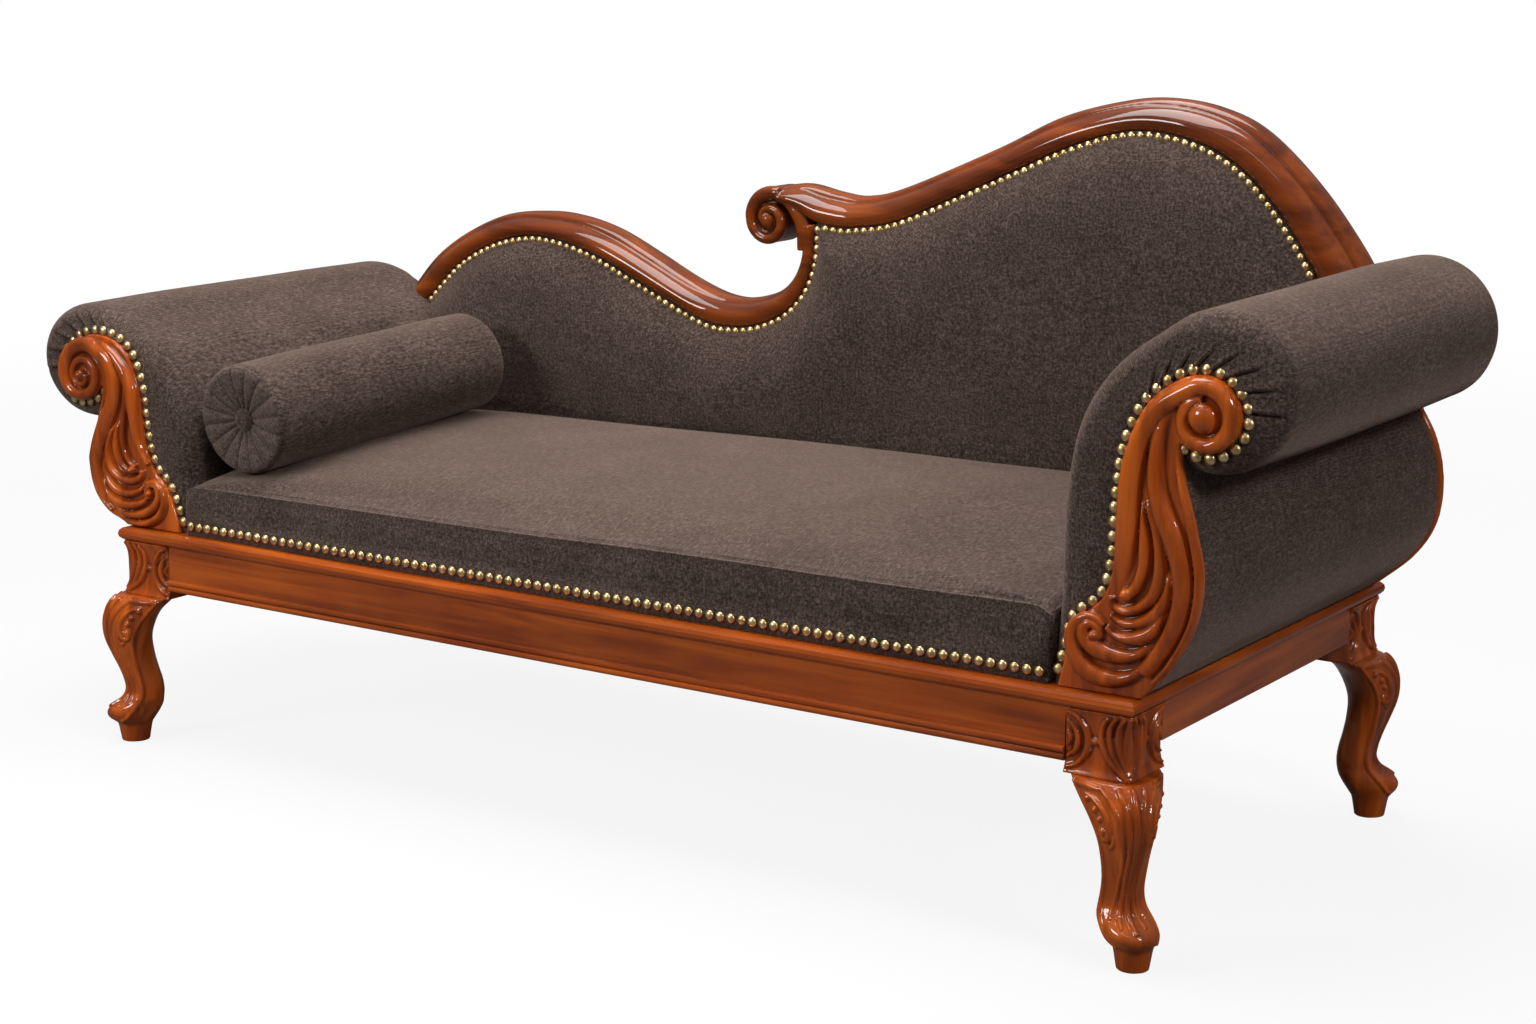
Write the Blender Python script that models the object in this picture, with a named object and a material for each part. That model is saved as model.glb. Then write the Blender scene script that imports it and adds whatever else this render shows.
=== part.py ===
# Upholstered sofa with one high end: carved show-wood frame, rolled arms, loose bolster.
# Metres, +Z up, +X to the high end, the front faces -Y, the origin is on the floor below the middle.
import math

import bmesh
import bpy
from mathutils import Vector

# Driving dimensions
MM = 0.001
CLEARANCE = 0.0003

SEAT_LENGTH = 1.665
SEAT_DEPTH = 0.740

LEG_HEIGHT = 0.227
LEG_SIDES = 14
FOOT_INSET_X = 0.001
FOOT_INSET_Y = 0.017

BLOCK_HEIGHT = 0.0794
BLOCK_WIDTH = 0.090
BLOCK_INSET = 0.004
BLOCK_WAIST = 0.007
BLOCK_CORNER = 0.010

RAIL_THICKNESS = 0.030
RAIL_INSET = 0.010
RAIL_HEIGHT = 0.0487
FRONT_BEAD_HEIGHT = 0.018
FRONT_BEAD_DEPTH = 0.005

MOULDING_THICKNESS = 0.0195
MOULDING_WIDTH = 0.130
BRACE_THICKNESS = 0.028
BRACE_HEIGHT = 0.038

STRAP_COUNT = 6
STRAP_WIDTH = 0.075
STRAP_THICKNESS = 0.0025
TACK_STRIP_WIDTH = 0.022
TACK_STRIP_HEIGHT = 0.030
DUST_COVER_THICKNESS = 0.001

SEAT_BORDER_HEIGHT = 0.0735
SEAT_BORDER_INSET = 0.020
SEAT_BORDER_BULGE = 0.004
SEAT_PAD_WALL = 0.028
SEAT_RISE = 0.022
SEAT_CROWN = 0.036
SEAT_CROWN_POWER = 3.5
SEAT_END_DROP = 0.25
SEAT_SHARES = (0.0, 0.015, 0.05, 0.15, 0.325, 0.5, 0.675, 0.85, 0.95, 0.985, 1.0)
SEAT_STEPS = (0.0, 0.03, 0.1, 0.22, 0.4, 0.6, 0.8, 1.0)
SEAT_BACK_WALL = 0.009

ARM_WALL_OFFSET = 0.1225
ARM_FRONT_INSET = 0.027
ARM_REAR_INSET = 0.040
ARM_PAD_ROUND = 0.034
ARM_PLEATS = 9
ARM_PLEAT_DEPTH = 0.004
ARM_POST_THICKNESS = 0.030
ARM_POST_REVEAL = 0.005
ARM_POST_FOOT_INSET = 0.0675
ARM_PANEL_RECESS = 0.0025
ARM_BASE_WIDTH = 0.050
ARM_BASE_HEIGHT = 0.040
ROLL_RAIL_RADIUS = 0.022
FACING_THICKNESS = 0.012
FACING_RELIEF = 0.008
FACING_EDGE = 0.004
FACING_VOLUTE_RADIUS = 0.034
FACING_VOLUTE_RIDGE = 0.006
FACING_VOLUTE_TURNS = 1.55
FACING_EYE_RADIUS = 0.010
STRAND_STEP = 0.0003
REAR_FACING_THICKNESS = 0.015

BACK_FRAME_INSET = 0.035
BACK_FRAME_THICKNESS = 0.035
BACK_RAIL_HEIGHT = 0.060
BACK_STILE_WIDTH = 0.060
BACK_PAD_DEPTH = 0.045
BACK_PAD_CROWN = 0.010
BACK_PAD_EDGE = 0.015
BACK_PANEL_THICKNESS = 0.008
CREST_FRONT_OVERHANG = 0.024
CREST_REAR_OVERHANG = 0.015
VOLUTE_RADIUS = 0.047
VOLUTE_TURNS = 1.6
VOLUTE_RIDGE = 0.0065

BOLSTER_RADIUS = 0.080
BOLSTER_LENGTH = 0.500
BOLSTER_FORWARD = 0.065
BOLSTER_PLEATS = 16
BOLSTER_PLEAT_DEPTH = 0.004
BOLSTER_DISH = 0.008
BOLSTER_PIPING = 0.003
BUTTON_RADIUS = 0.015
BUTTON_THICKNESS = 0.008

# Finishes: colour, roughness, metallic value
SHOW_WOOD = ((0.170, 0.036, 0.012), 0.28, 0.0)
FRAME_WOOD = ((0.420, 0.270, 0.140), 0.60, 0.0)
FABRIC = ((0.058, 0.042, 0.037), 0.90, 0.0)
JUTE = ((0.360, 0.250, 0.130), 0.95, 0.0)
LINING = ((0.020, 0.019, 0.018), 0.95, 0.0)

# Cabriole leg, from the floor up: share of the height, reach outward, reach inward, width,
# and how far inward its widest place lies
LEG_PROFILE = (
    (0.00, 0.020, 0.020, 0.038, 0.000),
    (0.12, 0.026, 0.026, 0.048, 0.000),
    (0.15, 0.035, 0.030, 0.054, 0.000),
    (0.19, 0.040, 0.036, 0.063, 0.000),
    (0.24, 0.033, 0.042, 0.063, 0.004),
    (0.29, 0.014, 0.044, 0.059, 0.010),
    (0.35, 0.008, 0.045, 0.051, 0.014),
    (0.42, 0.010, 0.043, 0.047, 0.012),
    (0.50, 0.016, 0.038, 0.048, 0.008),
    (0.60, 0.026, 0.033, 0.054, 0.006),
    (0.71, 0.036, 0.031, 0.065, 0.006),
    (0.81, 0.038, 0.037, 0.080, 0.014),
    (0.90, 0.033, 0.048, 0.096, 0.028),
    (0.96, 0.024, 0.062, 0.105, 0.040),
    (1.00, 0.012, 0.071, 0.110, 0.048),
)
LEG_SWING_START = 0.12
LEG_SWING_END = 0.30

# Arm outlines in millimetres from the end of the seat moulding and from its top
ARMS = {
    "right": {
        "side": 1,
        "leaf_stretch": 1.0,
        "facing_inner": (
            (-112, 0), (-100, 45), (-90, 84), (-71, 98), (-52, 119), (-42, 160), (-38, 240), (-28, 301),
            (-4, 348), (32, 377), (58, 385), (80, 383), (100, 369), (112, 344), (106, 317), (85, 300),
            (66, 296), (51, 299), (38, 306),
        ),
        "facing_outer": ((38, 306), (44, 265), (61, 206), (72, 151), (64, 96), (34, 40), (-2, 0)),
        "rear_outer": ((38, 306), (44, 265), (73, 212), (86, 158), (81, 98), (52, 48), (-2, 0)),
        "eye": (72, 338),
        "roll_centre": (69.5, 362),
        "roll_radii": (94, 94),
        "roll_end": -105,
        "wall": ((-122.5, 178), (-119, 240), (-108, 302), (-86, 350), (-48, 394)),
    },
    "left": {
        "side": -1,
        "leaf_stretch": 0.68,
        "facing_inner": (
            (-110, 0), (-97, 38), (-82, 68), (-62, 86), (-47, 116), (-40, 162), (-34, 208), (-16, 251),
            (14, 273), (55, 278), (90, 266), (116, 238), (121, 208), (104, 184), (82, 181), (57, 189),
            (39, 204),
        ),
        "facing_outer": ((39, 204), (47, 153), (63, 110), (66, 83), (50, 34), (-1, 0)),
        "rear_outer": ((39, 204), (47, 153), (69, 114), (75, 82), (58, 36), (-1, 0)),
        "eye": (68, 217),
        "roll_centre": (88, 232),
        "roll_radii": (98, 84),
        "roll_end": -112,
        "wall": ((-122.5, 110), (-119, 155), (-106, 195), (-80, 232), (-44, 263)),
    },
}
# Carved leaves of a facing: half width and path, in millimetres as above
FACING_LEAVES = (
    (10, ((16, 356), (-12, 332), (-25, 298), (-28, 250), (-30, 200), (-35, 150), (-46, 114))),
    (12, ((22, 318), (8, 288), (16, 245), (42, 189), (53, 149), (48, 106), (30, 68), (-4, 42), (-44, 40))),
    (7, ((-8, 262), (0, 212), (5, 171), (-4, 135), (-22, 122))),
    (7, ((2, 232), (20, 187), (25, 151), (12, 118), (-12, 103), (-36, 112))),
    (7, ((36, 132), (20, 87), (-8, 66), (-42, 64))),
    (6, ((-40, 22), (-78, 42), (-88, 68), (-76, 84), (-62, 78))),
)
ROLL_START = 125

# Crest lines: share of half the seat length, millimetres above the moulding
LOW_CREST_LOWER = (
    (-0.985, 236), (-0.948, 267), (-0.862, 332), (-0.765, 371), (-0.665, 384), (-0.549, 366), (-0.422, 322),
    (-0.289, 277), (-0.220, 272), (-0.165, 280), (-0.110, 302), (-0.070, 338), (-0.050, 384), (-0.047, 433),
)
LOW_CREST_UPPER = (
    (-1.050, 240), (-1.010, 282), (-0.948, 336), (-0.868, 379), (-0.776, 410), (-0.680, 420), (-0.605, 418),
    (-0.525, 403), (-0.441, 373), (-0.357, 340), (-0.287, 318), (-0.226, 312), (-0.170, 320), (-0.128, 336),
    (-0.100, 366), (-0.090, 396), (-0.094, 421),
)
HIGH_CREST_LOWER = (
    (-0.110, 420), (-0.047, 434), (0.040, 436), (0.132, 452), (0.327, 522), (0.458, 570), (0.572, 596),
    (0.675, 588), (0.760, 557), (0.830, 503), (0.898, 424), (0.950, 340),
)
HIGH_CREST_UPPER = (
    (-0.132, 487), (-0.082, 491), (-0.018, 482), (0.040, 479), (0.120, 496), (0.302, 560), (0.423, 608),
    (0.541, 634), (0.625, 640), (0.712, 630), (0.790, 602), (0.883, 534), (0.960, 456), (1.010, 390),
)
VOLUTE_EYE = (-0.151, 436)

# How far each arm reaches past the seat. The origin is below the middle of the whole
LEFT_REACH = ARMS["left"]["roll_centre"][0] + ARMS["left"]["roll_radii"][0]
RIGHT_REACH = ARMS["right"]["roll_centre"][0] + ARMS["right"]["roll_radii"][0]
SEAT_MIDDLE_X = (LEFT_REACH - RIGHT_REACH) / 2 * MM

# Derived levels and faces
HALF_LENGTH = SEAT_LENGTH / 2
HALF_DEPTH = SEAT_DEPTH / 2
BLOCK_BOTTOM = LEG_HEIGHT + CLEARANCE
BLOCK_TOP = BLOCK_BOTTOM + BLOCK_HEIGHT
MOULDING_BOTTOM = BLOCK_TOP + CLEARANCE
MOULDING_TOP = MOULDING_BOTTOM + MOULDING_THICKNESS
SEAT_BASE = MOULDING_TOP + CLEARANCE
RAIL_BOTTOM = BLOCK_TOP - RAIL_HEIGHT
BLOCK_X = HALF_LENGTH - BLOCK_INSET
BLOCK_Y = HALF_DEPTH - BLOCK_INSET
RAIL_X = HALF_LENGTH - RAIL_INSET
RAIL_Y = HALF_DEPTH - RAIL_INSET
ARM_WALL_X = HALF_LENGTH - ARM_WALL_OFFSET
ARM_FRONT_Y = ARM_FRONT_INSET - HALF_DEPTH
ARM_REAR_Y = HALF_DEPTH - ARM_REAR_INSET
BACK_REAR_Y = HALF_DEPTH - BACK_FRAME_INSET
BACK_FRONT_Y = BACK_REAR_Y - BACK_FRAME_THICKNESS
BACK_PAD_FRONT_Y = BACK_FRONT_Y - CLEARANCE - BACK_PAD_DEPTH
SEAT_FRONT_Y = SEAT_BORDER_INSET - HALF_DEPTH
SEAT_REAR_Y = BACK_PAD_FRONT_Y - CLEARANCE
SEAT_END_X = ARM_WALL_X - CLEARANCE


# Shape helpers
def add_piece(name, shape, look, smooth_angle=None):
    """Make one named object with its own material from a bmesh."""
    mesh = bpy.data.meshes.new(name)
    bmesh.ops.recalc_face_normals(shape, faces=shape.faces)
    shape.to_mesh(mesh)
    shape.free()
    piece = bpy.data.objects.new(name, mesh)
    bpy.context.collection.objects.link(piece)
    if smooth_angle is not None:
        mesh.shade_smooth()
        mesh.set_sharp_from_angle(angle=math.radians(smooth_angle))
    colour, roughness, metallic = look
    material = bpy.data.materials.new(name)
    material.use_nodes = True
    surface = material.node_tree.nodes["Principled BSDF"]
    surface.inputs["Base Color"].default_value = (*colour, 1.0)
    surface.inputs["Roughness"].default_value = roughness
    surface.inputs["Metallic"].default_value = metallic
    mesh.materials.append(material)
    return piece


def add_cutter(name, shape):
    """Make a hidden guide for a Boolean."""
    cutter = add_piece(name, shape, FRAME_WOOD)
    cutter.hide_render = True
    cutter.display_type = "WIRE"
    return cutter


def combine(piece, other, operation):
    modifier = piece.modifiers.new(other.name, "BOOLEAN")
    modifier.operation = operation
    modifier.object = other


def loft(rings):
    """Skin rings of equal length and cap both ends."""
    shape = bmesh.new()
    rows = [[shape.verts.new(point) for point in ring] for ring in rings]
    for lower, upper in zip(rows, rows[1:]):
        for index, corner in enumerate(lower):
            after = (index + 1) % len(lower)
            shape.faces.new((corner, lower[after], upper[after], upper[index]))
    shape.faces.new(list(reversed(rows[0])))
    shape.faces.new(rows[-1])
    return shape


def box(low, high):
    plan = ((low[0], low[1]), (high[0], low[1]), (high[0], high[1]), (low[0], high[1]))
    return loft([[(x, y, z) for x, y in plan] for z in (low[2], high[2])])


def prism_y(outline, front, rear):
    """Extrude an XZ outline from front to rear."""
    return loft([[(x, y, z) for x, z in outline] for y in (front, rear)])


def smooth_line(points, steps):
    """Catmull-Rom curve through the points, with a number of steps in each span."""
    knots = [Vector(point) for point in points]
    knots = [2 * knots[0] - knots[1]] + knots + [2 * knots[-1] - knots[-2]]
    line = []
    for before, start, end, after in zip(knots, knots[1:], knots[2:], knots[3:]):
        for step in range(steps):
            t = step / steps
            ease = 2 * start + (end - before) * t
            ease += (2 * before - 5 * start + 4 * end - after) * t ** 2
            ease += (3 * start - before - 3 * end + after) * t ** 3
            line.append(ease / 2)
    line.append(knots[-2])
    return line


def even_line(points, count):
    """Points at equal distances along a line."""
    lengths = [0.0]
    for start, end in zip(points, points[1:]):
        lengths.append(lengths[-1] + (end - start).length)
    line = []
    span = 0
    for index in range(count):
        target = lengths[-1] * index / (count - 1)
        while span < len(points) - 2 and lengths[span + 1] < target:
            span += 1
        share = (target - lengths[span]) / (lengths[span + 1] - lengths[span])
        line.append(points[span].lerp(points[span + 1], share))
    return line


def inset_line(line, distance):
    """Shift an open line to its right-hand side."""
    shifted = []
    for index, point in enumerate(line):
        before = line[max(index - 1, 0)]
        after = line[min(index + 1, len(line) - 1)]
        along = (after - before).normalized()
        shifted.append(point + distance * Vector((along.y, -along.x)))
    return shifted


def height_at(line, x):
    """Height of a line that runs left to right."""
    for start, end in zip(line, line[1:]):
        if start.x <= x <= end.x:
            return start.y + (end.y - start.y) * (x - start.x) / max(end.x - start.x, 1e-9)
    return line[-1].y if x > line[-1].x else line[0].y


def tapered_tube(path, radii, y, flatness, sides=8):
    """Round strand along an XZ path, flattened along Y."""
    rings = []
    for index, (centre, radius) in enumerate(zip(path, radii)):
        before = path[max(index - 1, 0)]
        after = path[min(index + 1, len(path) - 1)]
        along = (after - before).normalized()
        across = Vector((along.y, -along.x))
        ring = []
        for side in range(sides):
            angle = math.tau * (side + 0.5) / sides
            spot = centre + across * radius * math.cos(angle)
            ring.append((spot.x, y + radius * flatness * math.sin(angle), spot.y))
        rings.append(ring)
    return loft(rings)


# Base: legs, blocks, rails, moulding
def leg_shape(swing):
    """Cabriole leg that reaches outward along +X, with its foot at the origin.

    Above the foot it swings sideways, so that the knee lies on the corner block's diagonal.
    """
    rings = []
    for share, outward, inward, width, widest in LEG_PROFILE:
        turn = min(max((share - LEG_SWING_START) / (LEG_SWING_END - LEG_SWING_START), 0.0), 1.0)
        ring = []
        for side in range(LEG_SIDES):
            angle = math.tau * side / LEG_SIDES
            reach = outward + widest if math.cos(angle) > 0 else inward - widest
            x = reach * math.cos(angle) - widest
            ring.append((x, swing * turn + width / 2 * math.sin(angle), share * LEG_HEIGHT))
        rings.append(ring)
    return loft(rings)


def block_shape():
    """Waisted block with its outer corner towards +X and +Y of its own centre."""
    half = BLOCK_WIDTH / 2
    rings = []
    for share in (0.0, 0.12, 0.3, 0.5, 0.7, 0.88, 1.0):
        waist = BLOCK_WAIST * (1 - (2 * share - 1) ** 4) if 0 < share < 1 else 0.0
        face = half - waist
        ring = [(-half, -half), (face, -half), (face, face - BLOCK_CORNER)]
        ring += [(face - BLOCK_CORNER * 0.3, face - BLOCK_CORNER * 0.3)]
        ring += [(face - BLOCK_CORNER, face), (-half, face)]
        rings.append([(x, y, share * BLOCK_HEIGHT) for x, y in ring])
    return loft(rings)


def build_corners():
    for end, end_name in ((-1, "left"), (1, "right")):
        for face, face_name in ((-1, "front"), (1, "rear")):
            turn = math.atan2(face, end)
            foot_x = HALF_LENGTH - FOOT_INSET_X
            foot_y = HALF_DEPTH - FOOT_INSET_Y
            swing = end * face * (foot_x - foot_y - BLOCK_X + BLOCK_Y) / math.sqrt(2)
            leg = add_piece(f"leg_{face_name}_{end_name}", leg_shape(swing), SHOW_WOOD, 50)
            leg.location = (end * foot_x, face * foot_y, 0.0)
            leg.rotation_euler.z = turn
            block = add_piece(f"corner_block_{face_name}_{end_name}", block_shape(), SHOW_WOOD)
            half = BLOCK_WIDTH / 2
            block.location = (end * (BLOCK_X - half), face * (BLOCK_Y - half), BLOCK_BOTTOM)
            block.rotation_euler.z = turn - math.radians(45)
            add_piece(f"corner_brace_{face_name}_{end_name}", brace_shape(end, face), FRAME_WOOD)


def brace_shape(end, face):
    """Diagonal plank from the long rail to the end rail, just inside the corner block."""
    inner_x = RAIL_X - RAIL_THICKNESS - CLEARANCE
    inner_y = RAIL_Y - RAIL_THICKNESS - CLEARANCE
    outer_sum = BLOCK_X + BLOCK_Y - 2 * BLOCK_WIDTH - 2 * CLEARANCE
    inner_sum = outer_sum - BRACE_THICKNESS * math.sqrt(2)
    plan = ((outer_sum - inner_y, inner_y), (inner_x, outer_sum - inner_x))
    plan += ((inner_x, inner_sum - inner_x), (inner_sum - inner_y, inner_y))
    top = BLOCK_TOP - CLEARANCE
    return loft([[(end * x, face * y, z) for x, y in plan] for z in (top - BRACE_HEIGHT, top)])


def build_rails():
    reach_x = BLOCK_X - BLOCK_WIDTH - CLEARANCE
    reach_y = BLOCK_Y - BLOCK_WIDTH - CLEARANCE
    front_bottom = RAIL_BOTTOM - FRONT_BEAD_HEIGHT
    inner_y = RAIL_Y - RAIL_THICKNESS
    inner_x = RAIL_X - RAIL_THICKNESS
    front = box((-reach_x, -RAIL_Y, front_bottom), (reach_x, -inner_y, BLOCK_TOP))
    rear = box((-reach_x, inner_y, RAIL_BOTTOM), (reach_x, RAIL_Y, BLOCK_TOP))
    left = box((-RAIL_X, -reach_y, RAIL_BOTTOM), (-inner_x, reach_y, BLOCK_TOP))
    right = box((inner_x, -reach_y, RAIL_BOTTOM), (RAIL_X, reach_y, BLOCK_TOP))
    add_piece("front_rail", front, SHOW_WOOD)
    add_piece("rear_rail", rear, SHOW_WOOD)
    add_piece("left_rail", left, SHOW_WOOD)
    add_piece("right_rail", right, SHOW_WOOD)
    bead_face = -RAIL_Y - CLEARANCE
    outline = [(bead_face, front_bottom)]
    for bead in (0, 1):
        middle = front_bottom + FRONT_BEAD_HEIGHT * (0.25 + 0.5 * bead)
        for step in range(7):
            angle = math.pi * (step / 6 - 0.5)
            depth = FRONT_BEAD_DEPTH * (0.15 + 0.85 * math.cos(angle))
            outline.append((bead_face - depth, middle + FRONT_BEAD_HEIGHT * 0.249 * math.sin(angle)))
    outline.append((bead_face, RAIL_BOTTOM))
    bead = loft([[(x, y, z) for y, z in outline] for x in (-reach_x, reach_x)])
    add_piece("front_bead", bead, SHOW_WOOD, 40)


def moulding_profile():
    """Distance in from the outer edge, and height: a nosing on a flat board."""
    radius = MOULDING_THICKNESS / 2
    profile = [(MOULDING_WIDTH, MOULDING_TOP), (MOULDING_WIDTH, MOULDING_BOTTOM)]
    for step in range(7):
        angle = math.pi * (step / 6 - 0.5)
        spot = radius * (1 - math.cos(angle))
        profile.append((spot, MOULDING_BOTTOM + radius + radius * math.sin(angle)))
    return profile


def build_moulding():
    """Four mitred boards: each end is cut at 45 degrees with a glue gap."""
    profile = moulding_profile()
    gap = CLEARANCE / 2
    for side, name in ((-1, "front_moulding"), (1, "rear_moulding")):
        ends = []
        for end in (-1, 1):
            reach = HALF_LENGTH - gap
            ends.append([(end * (reach - inset), side * (HALF_DEPTH - inset), z) for inset, z in profile])
        add_piece(name, loft(ends), SHOW_WOOD, 40)
    for side, name in ((-1, "left_moulding"), (1, "right_moulding")):
        ends = []
        for end in (-1, 1):
            reach = HALF_DEPTH - gap
            ends.append([(side * (HALF_LENGTH - inset), end * (reach - inset), z) for inset, z in profile])
        add_piece(name, loft(ends), SHOW_WOOD, 40)


def build_dust_cover():
    """Thin lining under the rails, notched round the corner blocks."""
    notch_x = BLOCK_X - BLOCK_WIDTH - CLEARANCE
    notch_y = BLOCK_Y - BLOCK_WIDTH - CLEARANCE
    edge_x = RAIL_X - RAIL_THICKNESS / 2
    rear_y = RAIL_Y - RAIL_THICKNESS / 2
    front_y = RAIL_THICKNESS + CLEARANCE - RAIL_Y
    plan = [(-notch_x, front_y), (notch_x, front_y), (notch_x, -notch_y), (edge_x, -notch_y)]
    plan += [(edge_x, notch_y), (notch_x, notch_y), (notch_x, rear_y), (-notch_x, rear_y)]
    plan += [(-notch_x, notch_y), (-edge_x, notch_y), (-edge_x, -notch_y), (-notch_x, -notch_y)]
    top = RAIL_BOTTOM - CLEARANCE
    cover = loft([[(x, y, z) for x, y in plan] for z in (top - DUST_COVER_THICKNESS, top)])
    add_piece("dust_cover", cover, LINING)


# Seat: webbing, tacking strip, pad
def build_webbing():
    front = SEAT_FRONT_Y + SEAT_PAD_WALL + TACK_STRIP_WIDTH + 2 * CLEARANCE
    rear = SEAT_REAR_Y - SEAT_BACK_WALL - CLEARANCE
    for index in range(STRAP_COUNT):
        middle = 2 * SEAT_END_X * ((index + 0.5) / STRAP_COUNT - 0.5)
        low = (middle - STRAP_WIDTH / 2, front, SEAT_BASE)
        high = (middle + STRAP_WIDTH / 2, rear, SEAT_BASE + STRAP_THICKNESS)
        add_piece(f"seat_strap_{index + 1}", box(low, high), JUTE)
    strip_front = SEAT_FRONT_Y + SEAT_PAD_WALL + CLEARANCE
    low = (-SEAT_END_X, strip_front, SEAT_BASE)
    high = (SEAT_END_X, strip_front + TACK_STRIP_WIDTH - CLEARANCE, SEAT_BASE + TACK_STRIP_HEIGHT)
    add_piece("seat_tack_strip", box(low, high), FRAME_WOOD)


def seat_top(share, step):
    """Height of the seat, crowned and rising to the high end, at a share of its length and depth."""
    crown = SEAT_CROWN * (1 - SEAT_END_DROP * (2 * share - 1) ** 8)
    return SEAT_BASE + SEAT_BORDER_HEIGHT + SEAT_RISE * share + crown * (1 - (1 - step) ** SEAT_CROWN_POWER)


def seat_ring(share):
    """Section of the seat pad: front border, crowned top, channel below for strip and straps."""
    seam = seat_top(share, 0.0)
    ring = [(SEAT_FRONT_Y, SEAT_BASE)]
    for step in (0.3, 0.6, 0.9):
        bulge = SEAT_BORDER_BULGE * math.sin(math.pi * step)
        ring.append((SEAT_FRONT_Y - bulge, SEAT_BASE + (seam - SEAT_BASE) * step))
    for step in SEAT_STEPS:
        ring.append((SEAT_FRONT_Y + (SEAT_REAR_Y - SEAT_FRONT_Y) * step, seat_top(share, step)))
    strip_rear = SEAT_FRONT_Y + SEAT_PAD_WALL + TACK_STRIP_WIDTH + CLEARANCE
    strap_top = SEAT_BASE + STRAP_THICKNESS + CLEARANCE
    strip_top = SEAT_BASE + TACK_STRIP_HEIGHT + CLEARANCE
    ring += [(SEAT_REAR_Y, SEAT_BASE), (SEAT_REAR_Y - SEAT_BACK_WALL, SEAT_BASE)]
    ring += [(SEAT_REAR_Y - SEAT_BACK_WALL, strap_top), (strip_rear, strap_top), (strip_rear, strip_top)]
    ring += [(SEAT_FRONT_Y + SEAT_PAD_WALL, strip_top), (SEAT_FRONT_Y + SEAT_PAD_WALL, SEAT_BASE)]
    return [(SEAT_END_X * (2 * share - 1), y, z) for y, z in ring]


def build_seat_pad():
    add_piece("seat_pad", loft([seat_ring(share) for share in SEAT_SHARES]), FABRIC, 40)


# Arms: outlines are worked on the right-hand side and mirrored by the arm's side
def arm_point(spot):
    """Place a point given in millimetres from the moulding's end and top."""
    return Vector((HALF_LENGTH + spot[0] * MM, MOULDING_TOP + spot[1] * MM))


def stand_on_moulding(line):
    """Bring both ends of an arm outline down to the moulding."""
    line[0].y = SEAT_BASE
    line[-1].y = SEAT_BASE
    return line


def facing_line(arm, outer_side="facing_outer"):
    """Outline of a facing, from the inner foot over the volute to the outer foot."""
    inner = smooth_line([arm_point(spot) for spot in arm["facing_inner"]], 2)
    outer = smooth_line([arm_point(spot) for spot in arm[outer_side]], 2)
    return stand_on_moulding(inner + outer[1:])


def post_line(arm, reveal):
    """Outline of the hidden posts: the facing's, drawn in, with a straight foot on the inner side."""
    foot = HALF_LENGTH - ARM_POST_FOOT_INSET
    line = inset_line(facing_line(arm), ARM_POST_REVEAL + reveal)
    line = [Vector((max(point.x, foot + reveal), point.y)) for point in line]
    return stand_on_moulding(line)


def roll_line(arm):
    """Outline of the stuffed side of the pad, and how strongly its ends are rounded at each point."""
    centre = arm_point(arm["roll_centre"])
    width, height = (radius * MM for radius in arm["roll_radii"])
    wall = [Vector((ARM_WALL_X, SEAT_BASE))] + [arm_point(spot) for spot in arm["wall"]]
    arc_steps = ARM_PLEATS * 4
    arc = []
    for step in range(arc_steps + 1):
        angle = math.radians(ROLL_START + (arm["roll_end"] - ROLL_START) * step / arc_steps)
        arc.append(centre + Vector((width * math.cos(angle), height * math.sin(angle))))
    rise = smooth_line(wall + [arc[0]], 3)
    line = rise[:-1] + arc
    rounding = [1.0] * (len(rise) - 1)
    pleating = [0.0] * (len(rise) - 1)
    for step in range(arc_steps + 1):
        share = step / arc_steps
        rounding.append(1.0 if share < 0.55 else 1.0 - 0.75 * (share - 0.55) / 0.45)
        pleating.append(0.5 + 0.5 * math.cos(math.tau * ARM_PLEATS * share))
    return line, rounding, pleating


def outer_panel(arm, outer_side):
    """Flat outer side of the pad, just inside the edge of a facing."""
    neck = len(arm["facing_inner"]) * 2 - 2
    panel = inset_line(facing_line(arm, outer_side), ARM_PANEL_RECESS)[neck:]
    panel[-1].y = SEAT_BASE
    return panel


def arm_pad_rings(arm):
    stuffed, rounding, pleating = roll_line(arm)
    panel = outer_panel(arm, "facing_outer")
    rear_panel = outer_panel(arm, "rear_outer")
    hollow = list(reversed(post_line(arm, 0.0)))
    inward = inset_line(stuffed, 1.0)
    rings = []
    for share in (0.0, 0.35, 0.65, 0.87, 1.0):
        depth = ARM_PAD_ROUND * (1 - math.sqrt(1 - (1 - share) ** 2))
        pleat = ARM_PLEAT_DEPTH * (1 - share)
        ring = []
        for point, normal, strength, wave in zip(stuffed, inward, rounding, pleating):
            move = strength * (depth + pleat * wave)
            ring.append(point + (normal - point) * move)
        ring[0].y = SEAT_BASE
        rings.append((ARM_PAD_ROUND * share, ring))
    solid = []
    for back, ring in rings:
        outline = ring + panel + hollow
        solid.append([(arm["side"] * point.x, ARM_FRONT_Y + back, point.y) for point in outline])
    for back, ring in reversed(rings):
        outline = ring + rear_panel + hollow
        solid.append([(arm["side"] * point.x, ARM_REAR_Y - back, point.y) for point in outline])
    return solid


def mirrored(line, arm):
    return [(arm["side"] * point.x, point.y) for point in line]


def arm_cutter(name, arm):
    """Full-depth solid of the arm with a glue gap, to trim what meets it."""
    stuffed = roll_line(arm)[0]
    around = inset_line(stuffed, -CLEARANCE)
    around[0].y = MOULDING_BOTTOM
    outline = around + [Vector((around[-1].x, MOULDING_BOTTOM))]
    return add_cutter(f"{name}_arm_cutter", prism_y(mirrored(outline, arm), -SEAT_DEPTH, SEAT_DEPTH))


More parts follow.
